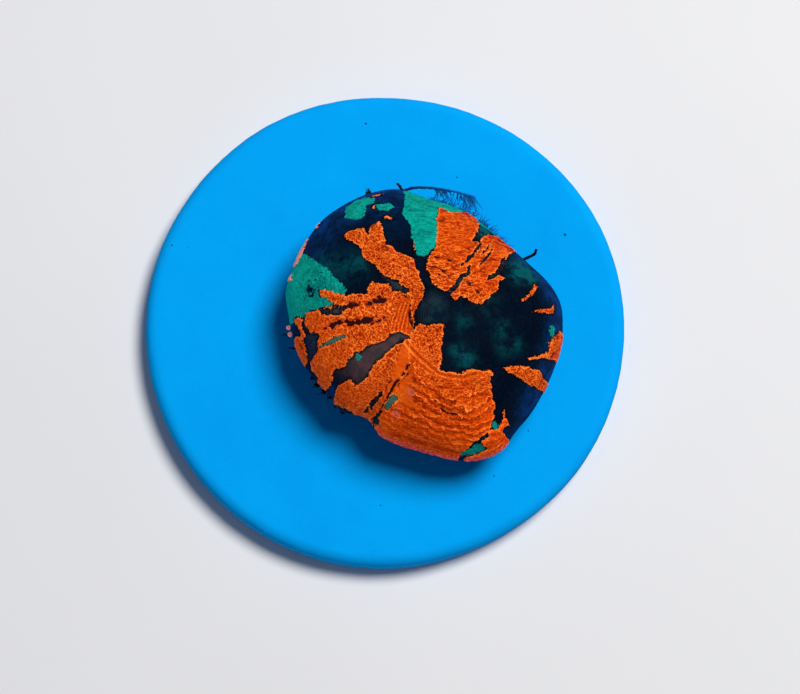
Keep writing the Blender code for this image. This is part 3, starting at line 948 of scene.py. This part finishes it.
def dome_rise(share):
    """Height of the plain dome above its rim."""
    return DOME_RISE * np.sqrt(np.maximum(1 - share ** DOME_ROUNDNESS, 0.0))


def slit_place(flat):
    """Distance across the mouth's slit, negative on its left, and the share of its half length along it."""
    along = (flat[..., 1] - SLIT_CENTRE_Y) / (SLIT_LENGTH / 2)
    return flat[..., 0] - SLIT_LEAN * flat[..., 1] - SLIT_BEND * (along * along - 0.3), along


def dome_height(degrees, share):
    """Height of the upper flesh before its fine relief."""
    flat = flat_place(degrees, share)
    turn = np.radians(degrees)
    hollow = HOLLOW_DEPTH * np.exp(-(share / HOLLOW_SHARE) ** 2)
    fade = np.minimum(1.0, share / 0.6) ** 2 * (1 - share ** 6)
    lobes = LOBE_DEPTH * fade * np.cos(LOBE_COUNT * turn + 1.5 * np.sin(2 * turn))
    mouth_lobe = MOUTH_LOBE_RISE * np.exp(-(flat_gap(flat, MOUTH_LOBE) / MOUTH_LOBE_RADIUS) ** 4)
    across, along = slit_place(flat)
    groove = np.exp(-(across / SLIT_WIDTH) ** 2) * np.maximum(0.0, 1 - along ** 4)
    return RIM_HEIGHT + dome_rise(share) - hollow + lobes + mouth_lobe - SLIT_DEPTH * groove


def skin_lengths():
    """Shares along the dome and the distance along the skin to each, at the mean rim radius."""
    shares = 1 - np.linspace(1, 0, 2000) ** 2
    return shares, travel(shares * MEAN_RIM, dome_rise(shares))


def flesh_grid():
    """Even mesh over the dome and underside: points' degrees, share, height and skin length, then faces."""
    shares, lengths = skin_lengths()
    size = 2 * TOP_RINGS + 1
    row, column = np.indices((size, size)).reshape(2, -1) - float(TOP_RINGS)
    wide = np.abs(column) >= np.abs(row)
    longer, shorter = np.where(wide, (column, row), (row, column))
    ratio = shorter / np.where(longer == 0, 1, longer)
    degrees = np.where(wide, 45 * ratio + 180 * (column < 0), 90 - 45 * ratio + 180 * (row < 0)) % 360
    ring = np.abs(longer)
    length = lengths[-1] * ring / TOP_RINGS
    share = np.interp(length, lengths, shares)
    share[ring == TOP_RINGS] = 1.0
    numbers = np.arange(size * size).reshape(size, size)
    corners = numbers[:-1, :-1], numbers[:-1, 1:], numbers[1:, 1:], numbers[1:, :-1]
    faces = np.stack(corners, -1).reshape(-1, 4).tolist()
    parts = [[degrees, share, dome_height(degrees, share), length]]

    path = smooth_path(UNDERSIDE, 12)
    travelled = travel(path[:, 0] * MEAN_RIM, path[:, 1])
    rim = np.flatnonzero(ring == TOP_RINGS)
    rim = rim[np.argsort(degrees[rim])]
    previous = rim.tolist()
    count = size * size
    for i in range(1, UNDERSIDE_RINGS + 1):
        distance = travelled[-1] * (i / UNDERSIDE_RINGS) ** 1.25
        place = [np.interp(distance, travelled, values) for values in path.T]
        parts.append(np.broadcast_arrays(degrees[rim], *place, lengths[-1] + distance))
        current = list(range(count, count + len(rim)))
        count += len(rim)
        faces += ring_faces(current, previous)
        previous = current
    parts.append([[0.0], [0.0], [UNDERSIDE[-1][1] + 0.3], [lengths[-1] + travelled[-1] + 1.0]])
    faces += [(count, previous[(i + 1) % len(previous)], previous[i]) for i in range(len(previous))]
    return (*np.hstack([np.array(part) for part in parts]), faces)


class Skin:
    """Every point of the skin, with soft-edged zones of it and noise over it."""

    def __init__(self, degrees, reach, length, points):
        self.degrees = degrees
        self.reach = reach  # share of the rim's radius, running on past 1 under the rim
        self.length = length  # along the skin from the mouth
        self.points = points
        self.flat = flat_place(degrees, reach)

    def sector(self, start, end, soft):
        """1 between two directions and 0 outside them, with soft ends."""
        away = np.abs((self.degrees - (start + end) / 2 + 180) % 360 - 180)
        half = (end - start) / 2
        return 1 - smooth_step(away, half - soft, half + soft)

    def sectors(self, zones):
        """Sum of several sectors, each with its strength."""
        return sum(strength * self.sector(start, end, soft) for start, end, soft, strength in zones)

    def beyond(self, low, high):
        """0 near the mouth and 1 farther out."""
        return smooth_step(self.reach, low, high)

    def noise(self, seed, size):
        """Noise over the skin with features of about the size."""
        return Noise(seed)(self.points / size)


def coloured_areas(skin):
    """Depth inside the orange crust, the cuts through it, green skin, muted skin and clefts."""
    shift = np.stack([
        0.17 * skin.noise(seed, 0.95) + 0.10 * skin.noise(seed + 1, 0.42) for seed in (21, 23)
    ], -1)
    torn = skin.flat + shift
    uneven = skin.noise(25, 0.9)
    cuts = np.maximum(area_depth(torn, DARK_AREAS), route_depth(torn, SLITS, 0.6 * uneven))
    muted = area_depth(torn, MUTED_AREAS)
    orange = np.minimum(area_depth(torn, ORANGE_AREAS), -np.maximum(cuts, muted))
    green = np.maximum(area_depth(torn, GREEN_AREAS), spot_depth(torn, GREEN_SPOTS))
    green = np.minimum(green, -spot_depth(torn + 1.4 * shift, GREEN_HOLES))
    cleft = route_depth(skin.flat + 0.5 * shift, CREASES, 1.5 * uneven)
    return [np.clip(depth, -DEPTH_LIMIT, DEPTH_LIMIT) for depth in (orange, cuts, green, muted, cleft)]


def bottom_area(skin):
    """Share of the terraced bottom area, and each point's progress from its inner edge to the rim."""
    shares, lengths = skin_lengths()
    start = np.interp(np.interp(skin.degrees, *zip(*TERRACE_START)), shares, lengths)
    progress = (skin.length - start) / (lengths[-1] - start)
    return skin.sector(251, 331, 2) * smooth_step(progress, 0.02, 0.10), progress


def ridges(skin, bottom, progress, calm):
    """Winding ridges, and others that run around the mouth."""
    run = np.where(bottom > 0, 14.0 * progress, skin.length)
    level = skin.sector(22, 100, 8) * skin.beyond(0.20, 0.45)
    run = run + level * (1.05 * skin.flat[:, 1] + 1.5 - skin.length)
    sway = 0.5 * skin.noise(33, 1.3)[:, None]
    winding = Noise(31)(skin.points / 0.66 + sway)
    around = Noise(32)(np.column_stack([skin.flat / 1.3, run / 0.64]) + sway)
    upper = skin.sector(14, 128, 4) * skin.beyond(0.16, 0.28)
    banded = greatest([
        (0.68 - 0.34 * smooth_step(skin.degrees, 82, 96)) * upper,
        0.60 * bottom,
        0.35 * skin.sector(128, 262, 4),
        0.80 * skin.sector(20, 90, 6) * skin.beyond(0.45, 0.65),
    ]) * skin.beyond(0.12, 0.26)
    evening = 1 / np.hypot(1 - banded, banded)
    field = (winding * (1 - banded) + around * banded) * evening
    radial = np.column_stack([polar(skin.degrees, 26.0), skin.length / 2.2])
    right = 0.3 * np.maximum(
        skin.sector(14, 51, 2) * skin.beyond(0.5, 0.62), skin.sector(208, 250, 3) * skin.beyond(0.7, 0.85)
    )
    field = field * (1 - right) + Noise(34)(radial) * right
    crest = np.clip(1 - np.abs(field) * 2.2, 0, 1)
    pit = smooth_step(field, 0.42, 0.70) * (1 - 0.6 * upper)

    # Short arched clefts that follow the rows around the mouth, drawn only as painted shade.
    arch = Noise(26)(np.column_stack([skin.flat / 3.0, run / 1.5]) + 0.6 * sway)
    closed = 1 - smooth_step(skin.noise(27, 2.0), -0.05, 0.12)
    arch = 0.11 - np.abs(arch) * 1.1 - 0.3 * closed - 0.6 * calm - 0.6 * (skin.reach < 0.2) - 0.5 * bottom
    arch -= skin.sectors([(128, 262, 4, 0.12), (90, 130, 4, 0.03)])
    return crest, pit, arch, banded, evening, np.column_stack([skin.flat / 1.05, run / 0.40])


def smooth_folds(skin):
    """Shares of lip folds, of folds that sweep down from the mouth and of a strip at the left rim.

    Then the running count of the folds, their joint share, and a welt along the sweep.
    """
    across = slit_place(skin.flat)[0]
    lips = between(across, -2.6, -0.15, 0.35) * between(skin.flat[:, 1], -3.0, 3.4, 0.9)
    gap, passed = route_gap(skin.flat, SWEEP)
    outside = np.where(skin.reach > np.interp(skin.degrees, *zip(*SWEEP)), gap, -gap)
    sweep = between(outside, -0.15, 1.3, 0.15) * skin.sector(246, 326, 2) * (1 - 0.6 * passed)
    strip = skin.sector(172, 199, 2) * skin.beyond(0.90, 0.93)
    folds = np.where(sweep > lips, outside / 0.78, np.where(strip > 0, skin.length / 1.1, across / 0.55))
    welt = np.exp(-(gap / 0.30) ** 2) * (sweep > 0.05)
    return lips, sweep, strip, folds, greatest([lips * 0.85, strip * 0.6, sweep]), welt


def terraces(skin, bottom, progress, calm, sweep):
    """Running count of the treads in the bottom area, their share, and how whole their edges are."""
    phase = progress * (5.5 + 7.5 * progress) + 0.55 * skin.noise(36, 2.6) + 0.40 * skin.noise(37, 0.75)
    strong = 0.50 + 0.50 * smooth_step(progress, 0.15, 0.35)
    strong *= 1 - 0.45 * smooth_step(progress, 0.50, 0.80)
    terrace = bottom * (1 - 0.85 * calm) * (1 - sweep) * strong * (skin.reach < 1.1)
    return phase, terrace, smooth_step(skin.noise(38, 1.3), -0.30, 0.20)


def dark_marks(skin, lines, ribs):
    """What the dark skin's colours read."""
    glow = sum(
        strength * np.exp(-(flat_gap(skin.flat, flat_place(degrees, share)) / radius) ** 2)
        for degrees, share, radius, strength in TEAL_GLOWS
    )
    lobe_gap = flat_gap(skin.flat, MOUTH_LOBE) / MOUTH_LOBE_RADIUS
    wedge = np.maximum(
        skin.sector(207, 236, 6) * (1 - skin.beyond(0.62, 0.95)),
        skin.sector(205, 262, 6) * (1 - skin.beyond(0.16, 0.24)),
    )
    upper_left = smooth_step(np.cos(np.radians(skin.degrees - 138)), -0.3, 0.85) * skin.beyond(0.4, 0.95)
    rim_edge = np.maximum(
        skin.beyond(0.88, 0.99) * (1 - 0.7 * skin.sector(174, 208, 4)),
        1.4 * skin.sector(-40, 50, 10) * skin.beyond(0.80, 0.96),
    )
    mottle = 0.14 * skin.noise(44, 1.4) + 0.16 * skin.noise(46, 0.5)
    tissue = 0.66 * upper_left + 0.60 * rim_edge + 0.05 * lines + mottle + 0.10 * ribs
    return {
        "tissue": np.clip(tissue, 0, 1),
        "glow": glow,
        "lobe": 0.9 * (1 - smooth_step(lobe_gap, 0.6, 1.5)),
        "arcs": flat_gap(skin.flat, LOBE_ARCS) / LOBE_ARC_SPACING,
        "wedge": wedge * 0.92,
    }


def colour_marks(skin, lines, cuts):
    """What the colours of green skin, slate skin, the rim's pink edge and purple spots read."""
    green_tone = 0.60 + 0.20 * lines + 0.8 * skin.noise(45, 1.6)
    # Towards the left rim the green is painted lighter, as painted light where the skin faces away from the
    # key; further in it is a little darker.
    green_tone += skin.sector(130, 180, 8) * (1.7 * skin.beyond(0.82, 1.0) - 0.35)
    green_tone -= skin.sectors([(-6, 6, 2, 0.95), (280, 320, 5, 0.5)])
    green_tone -= 0.7 * (spot_depth(skin.flat, GREEN_SPOTS) > -0.4)
    slate_edge = 0.6 * smooth_step(-route_gap(skin.flat, SLATE_ROUTE)[0], -1.6, -0.9)
    rim = skin.reach + 0.014 * skin.noise(48, 0.7) + 0.06 * skin.sector(122, 160, 2)
    return {
        "green_tone": green_tone,
        "slate": np.maximum(smooth_step(cuts, -0.25, 0.0), slate_edge),
        "rim": smooth_step(rim, 0.986, 0.997) * (0.15 + skin.sectors(PINK_ZONES)),
        "purple": 0.4 * smooth_step(spot_depth(skin.flat, PURPLE_SPOTS), -0.35, 0.45),
    }


def crust_marks(skin, orange):
    """Height of the crust, a welt along its sweep, places for its strands, and what its colours read."""
    bottom, progress = bottom_area(skin)
    calm = skin.sector(250, 272, 4) * between(skin.reach, 0.22, 0.74, 0.05)
    crest, pit, arch, banded, evening, fan = ridges(skin, bottom, progress, calm)
    lips, sweep, strip, folds, fold_share, welt = smooth_folds(skin)
    crest = crest * (1 - fold_share) + fold_share * (0.5 + 0.5 * strip * np.cos(2 * np.pi * folds))
    pit = pit * (1 - lips) * (1 - sweep)

    # Terraces, with scalloped edges and a shaded cleft below each.
    phase, terrace, whole = terraces(skin, bottom, progress, calm, sweep)
    tread = phase % 1
    lip = smooth_step(tread, 0.55, 0.95) * terrace
    shade = (1 - smooth_step(tread, 0.03, 0.20)) * terrace * whole
    crest = (crest * (1 - 0.3 * terrace) + 0.60 * lip) * (1 - 0.55 * calm)
    pit = np.maximum(pit * (1 - 0.6 * bottom), 0.6 * shade) * (1 - 0.9 * calm)

    edge_groove = between(skin.reach, 0.950, 0.970, 0.006) * smooth_step(skin.noise(47, 1.6), -0.3, 0.2)
    height = 0.13 + 0.07 * (crest - 0.4) - 0.04 * pit + 0.34 * (tread - 0.5) * terrace - 0.22 * edge_groove
    # The tone holds a painted highlight on crests and terrace lips, painted shade in pits, terrace clefts
    # and the groove above the rim, and a painted highlight just inside the crust's edge.
    tone = 0.58 + 0.05 * crest - 0.07 * pit + 0.06 * skin.noise(39, 3.5) - 0.45 * edge_groove
    tone += 0.10 * between(orange, 0.03, 0.26, 0.05) + 0.02 * bottom + 0.17 * calm + 0.10 * sweep
    tone -= 0.16 * skin.sector(4, 24, 2) * skin.beyond(0.66, 0.70)
    # Painted light on the crust's left side and low on the bottom area, where the key light leaves it in
    # shade.
    painted_light = 0.34 * skin.sector(150, 256, 9) * skin.beyond(0.35, 0.90)
    painted_light += 0.30 * bottom * skin.beyond(0.66, 0.88)
    strands = (1 - 0.75 * calm) * (1 - 0.8 * sweep) * (1 - 0.5 * lips) * (1 - 0.4 * terrace)
    return height, welt, fan, {
        "tone": tone,
        "painted_light": painted_light,
        "arch": arch - 0.6 * fold_share,
        "banded": banded,
        "evening": evening,
        "loose": skin.sector(132, 256, 6) * skin.beyond(0.30, 0.45),
        "folds": folds,
        "fold_share": fold_share,
        "terraces": phase,
        "terrace_share": terrace * (0.35 + 0.65 * whole),
        "strands": strands * (1 - 0.30 * skin.sector(20, 90, 6) * skin.beyond(0.45, 0.65)),
    }


def flesh_relief(skin):
    """Fine height of the skin, places for the strands around the mouth, and what the material reads."""
    orange, cuts, green, muted, cleft = coloured_areas(skin)
    crust = smooth_step(orange, -0.05, 0.12)
    height, welt, fan, marks = crust_marks(skin, orange)
    relief = crust * (height - 0.32 * smooth_step(cleft, -0.24, 0.08))

    # Faint lines around the mouth on the bare skin, and ribs under the rim.
    lines = np.cos(2 * np.pi * (skin.length / 0.95 + 0.55 * skin.noise(41, 1.8)))
    turn = np.radians(skin.degrees)
    ribs = np.cos(58 * turn + 2 * np.sin(3 * turn)) * skin.beyond(1.03, 1.12)
    relief += (1 - crust) * (0.01 * lines + 0.03 * skin.noise(42, 0.6)) + 0.20 * welt
    relief += 0.12 * skin.noise(43, 4.5) * skin.beyond(0.1, 0.3)
    relief += 0.45 * skin.sector(154, 166, 6) * between(skin.reach, 0.90, 1.12, 0.06)
    relief = relief * (1 - 0.5 * skin.beyond(1.1, 1.3)) + 0.10 * ribs
    return relief, fan, {
        "orange": orange,
        "green": green,
        "muted": muted,
        "cleft": cleft,
        **marks,
        **dark_marks(skin, lines, ribs),
        **colour_marks(skin, lines, cuts),
    }


def build_flesh():
    """The polyp's skin as one mesh, from the mouth over the rim to the inner edge of its underside."""
    degrees, share, height, length, faces = flesh_grid()
    rim_length = skin_lengths()[1][-1]
    reach = np.where(length > rim_length, 1 + (length - rim_length) / MEAN_RIM, share)
    points = np.column_stack([MOUTH + flat_place(degrees, share), height])
    relief, fan, values = flesh_relief(Skin(degrees, reach, length, points))
    points = points + point_normals(points, faces) * relief[:, None]
    piece = make_piece("scolymia_flesh", points, faces, flesh_material(), "scolymia_coral")
    for name, numbers in values.items():
        add_values(piece, name, numbers)
    add_vectors(piece, "fan", fan)
    add_layout(piece, 0.5 + 0.49 * polar(degrees, length / length.max()))


def build_beads():
    """Two pale knobs that stick out of the left rim."""
    degrees = np.arange(0, 360, 15)
    count = len(degrees)
    tilts = np.linspace(-1.5, 1.5, 17)
    ball = np.concatenate([
        np.column_stack([polar(degrees, math.cos(tilt)), np.full(count, math.sin(tilt))]) for tilt in tilts
    ])
    ends = [tuple(range(count))[::-1], tuple(range(len(ball) - count, len(ball)))]
    faces = [ends[0], *stack_faces(len(tilts), count), ends[1]]
    material = bead_material()
    for number, (*place, radius) in enumerate(BEADS, 1):
        lumps = 1 + 0.12 * Noise(80 + number)(ball * 1.4)
        points = rim_place(*place) + ball * radius * lumps[:, None]
        make_piece(f"rim_bead_{number}", points, faces, material, "scolymia_coral")


def build_foot():
    """Ribbed stony base that the flesh hangs over."""
    degrees = np.arange(FOOT_SEGMENTS) * 360 / FOOT_SEGMENTS
    turn = np.radians(degrees)
    ribs = 0.22 * np.cos(44 * turn + 2 * np.sin(3 * turn))
    rings = []
    for share, height in smooth_path(FOOT_PROFILE, 4):
        ring = polar(degrees, share * rim_radius(degrees) + ribs * smooth_step(height, 6.0, 7.5))
        rings.append(np.column_stack([ring + MOUTH, np.full(FOOT_SEGMENTS, height)]))
    points, faces = closed_stack(rings, [*MOUTH, FOOT_PROFILE[-1][1]], [*MOUTH, FOOT_PROFILE[0][1]])
    rough = 0.20 * Noise(51)(points / 1.2) + 0.08 * Noise(52)(points / 0.45)
    rough *= smooth_step(points[:, 2], 6.2, 7.0)
    points = points + point_normals(points, faces) * rough[:, None]
    make_piece("stony_foot", points, faces, foot_material(), "scolymia_coral")


# ---------------------------------------------------------------- algae

def rim_place(degrees, out, height):
    """Point at a distance out from the rim."""
    return np.array([*(MOUTH + polar(degrees, rim_radius(degrees) + out)), height])


class Strands:
    """Tapering filaments gathered into one mesh."""

    def __init__(self, seed, sides=6):
        self.draw = np.random.default_rng(seed)
        self.sides = sides
        self.points = []
        self.faces = []
        self.tips = []

    def add(self, corners, thick, thin, wobble=0.0, steps=4):
        """Filament through the corners, from its thick end to its thin end."""
        path = smooth_path(corners, steps)
        along = np.linspace(0, 1, len(path))
        radius = thick + (thin - thick) * along ** 1.3
        if wobble:
            path[1:] += self.draw.normal(scale=wobble, size=(len(path) - 1, 3))
            radius *= 1 + 0.12 * self.draw.uniform(-1, 1, len(path))
        ahead = np.gradient(path, axis=0)
        ahead /= np.linalg.norm(ahead, axis=1, keepdims=True)
        side = np.cross(ahead, RING_GUIDE)
        side /= np.linalg.norm(side, axis=1, keepdims=True)
        up = np.cross(side, ahead)
        circle = polar(np.arange(self.sides) * 360 / self.sides, 1.0)
        rings = [path[i] + radius[i] * (circle @ [side[i], up[i]]) for i in range(len(path))]
        root = path[0] - ahead[0] * thick * 0.5
        points, faces = closed_stack(rings, path[-1] + ahead[-1] * thin, root)
        self.faces += [tuple(len(self.tips) + number for number in face) for face in faces]
        self.points.append(points)
        self.tips += [*np.repeat(along, self.sides), 1.0, 0.0]

    def finish(self, name, material, node):
        """Mesh object of all filaments added so far."""
        piece = make_piece(name, np.concatenate(self.points), self.faces, material, node)
        add_values(piece, "tip", self.tips)


def build_tuft(haze, dark):
    """Thicket of fine hair algae along the upper rim, with dark clumps close to the flesh."""
    hairs = Strands(61, sides=4)
    draw = hairs.draw
    for _ in range(TUFT_HAIRS):
        degrees = draw.uniform(43, 84)
        fullness = math.sin(math.pi * (degrees - 40) / 50) ** 0.7
        height = 12.6 + draw.uniform(-1.0, 0.9) * fullness
        length = (0.4 + 1.9 * draw.random() ** 1.3) * fullness
        sweep = draw.uniform(-1.5, 5.0)
        corners = [
            rim_place(degrees, -0.25, height),
            rim_place(degrees - sweep * 0.4, length * 0.55, height + 0.15 * draw.normal()),
            rim_place(degrees - sweep, length, height + 0.30 * draw.normal()),
        ]
        hairs.add(corners, draw.uniform(0.06, 0.13), 0.03, wobble=0.03)
    hairs.finish("algae_tuft_hair", haze, "algae_tuft")
    build_clumps("algae_tuft_clumps", "algae_tuft", TUFT_CLUMPS, dark, 68)


def build_clumps(name, node, clumps, material, seed):
    """Small dark bunches of short hairs."""
    hairs = Strands(seed, sides=5)
    draw = hairs.draw
    for degrees, out, height, spread, count in clumps:
        for _ in range(count):
            start = rim_place(degrees + draw.normal() * 0.8, -0.2, height + 0.15 * draw.normal())
            end = rim_place(degrees, out, height) + draw.normal(size=3) * spread
            hairs.add([start, (start + end) / 2 + draw.normal(size=3) * 0.08, end], 0.09, 0.02)
    hairs.finish(name, material, node)


def build_strand(material, haze):
    """Long arching filament with a little haze of hairs between it and the rim."""
    strands = Strands(62)
    strands.add([rim_place(*corner) for corner in STRAND_ROUTE], 0.24, 0.15, wobble=0.02, steps=9)
    strands.finish("algae_strand_stem", material, "algae_strand")
    hairs = Strands(69, sides=4)
    draw = hairs.draw
    legs = len(STRAND_ROUTE) - 1
    for _ in range(STRAND_HAIRS):
        place = draw.uniform(0.42, 0.98) * legs
        degrees, out, height = (np.interp(place, range(legs + 1), values) for values in zip(*STRAND_ROUTE))
        drop = draw.uniform(0.15, 0.85)
        sweep = draw.uniform(-1.0, 5.0)
        corners = [
            rim_place(degrees, out, height),
            rim_place(degrees - sweep * 0.5, out * (1 - 0.6 * drop), height - 0.4),
            rim_place(degrees - sweep, out * (1 - drop), height - 0.8 + 0.25 * draw.normal()),
        ]
        hairs.add(corners, draw.uniform(0.06, 0.14), 0.03, wobble=0.03)
    hairs.finish("algae_strand_hair", haze, "algae_strand")


def build_algae():
    """Small growths that cling to the rim."""
    haze = algae_material("algae_haze", (0.0008, 0.05, 0.2), (0.0012, 0.15, 0.46), (0.001, 0.29, 0.8))
    navy = algae_material("algae_navy", (0.001, 0.016, 0.09), (0.0012, 0.035, 0.17), (0.001, 0.15, 0.52))
    black = algae_material("algae_black", (0.0008, 0.003, 0.008), (0.002, 0.009, 0.024))
    olive = algae_material("algae_olive", (0.002, 0.006, 0.005), (0.006, 0.03, 0.018))
    build_tuft(haze, black)
    build_strand(navy, haze)
    build_clumps("algae_fringe_hair", "algae_fringe", FRINGE_CLUMPS, black, 70)
    build_clumps("algae_sprout_tuft", "algae_sprout", SPROUT_CLUMPS, olive, 65)
    for node, route, thick, thin, seed in STEMS:
        stem = Strands(seed, sides=8)
        stem.add([rim_place(*corner) for corner in route], thick, thin, wobble=thick * 0.10, steps=6)
        stem.finish(f"{node}_stem", black, node)


# ---------------------------------------------------------------- stage

def build_floor():
    """Plain pale floor."""
    graph = Graph("floor")
    colour = graph.ramp(graph.noise(60.0, 3.0, 0.5), [(0.3, (0.78, 0.78, 0.78)), (0.7, (0.80, 0.80, 0.80))])
    mesh = bpy.data.meshes.new("floor")
    half = FLOOR_SIZE / 2
    corners = [(-half, -half, 0), (half, -half, 0), (half, half, 0), (-half, half, 0)]
    mesh.from_pydata(corners, [], [(0, 1, 2, 3)])
    mesh.materials.append(graph.finish(colour, 0.9, 0.1, []))
    floor = bpy.data.objects.new("floor", mesh)
    bpy.context.scene.collection.objects.link(floor)


def add_area_light(name, place, size, power, colour):
    """Round area light aimed just above the middle of the disc."""
    light = bpy.data.lights.new(name, "AREA")
    light.shape = "DISK"
    light.size = size
    light.energy = power
    light.color = colour
    lamp = bpy.data.objects.new(name, light)
    lamp.location = place
    lamp.rotation_euler = (Vector(LIGHT_TARGET) - Vector(place)).to_track_quat("-Z", "Y").to_euler()
    bpy.context.scene.collection.objects.link(lamp)


def build_lights():
    """Large soft key from the upper right, weak fill from the left, and weak bluish surroundings."""
    add_area_light("key", (0.33, 0.26, 0.85), 0.38, 9.4, (1.0, 0.99, 0.98))
    add_area_light("fill", (-0.50, -0.40, 0.70), 0.60, 0.5, (0.80, 0.86, 1.0))
    world = bpy.data.worlds.new("surroundings")
    bpy.context.scene.world = world
    world.use_nodes = True
    background = world.node_tree.nodes["Background"]
    background.inputs["Color"].default_value = (0.58, 0.68, 1.0, 1.0)
    background.inputs["Strength"].default_value = 0.10


def build_camera():
    """Long lens looking steeply down from the front."""
    elevation = math.radians(CAMERA_ELEVATION)
    back = Vector((0.0, -math.cos(elevation), math.sin(elevation)))
    data = bpy.data.cameras.new("camera")
    data.lens = 100.0
    data.clip_start = 0.01
    camera = bpy.data.objects.new("camera", data)
    camera.location = (Vector(CAMERA_TARGET) + back * CAMERA_DISTANCE) * MM
    camera.rotation_euler = (-back).to_track_quat("-Z", "Y").to_euler()
    bpy.context.scene.collection.objects.link(camera)
    bpy.context.scene.camera = camera


build_disc()
build_flesh()
build_beads()
build_foot()
build_algae()
build_floor()
build_lights()
build_camera()
bpy.context.scene.view_settings.view_transform = "Standard"

bpy.context.view_layer.update()
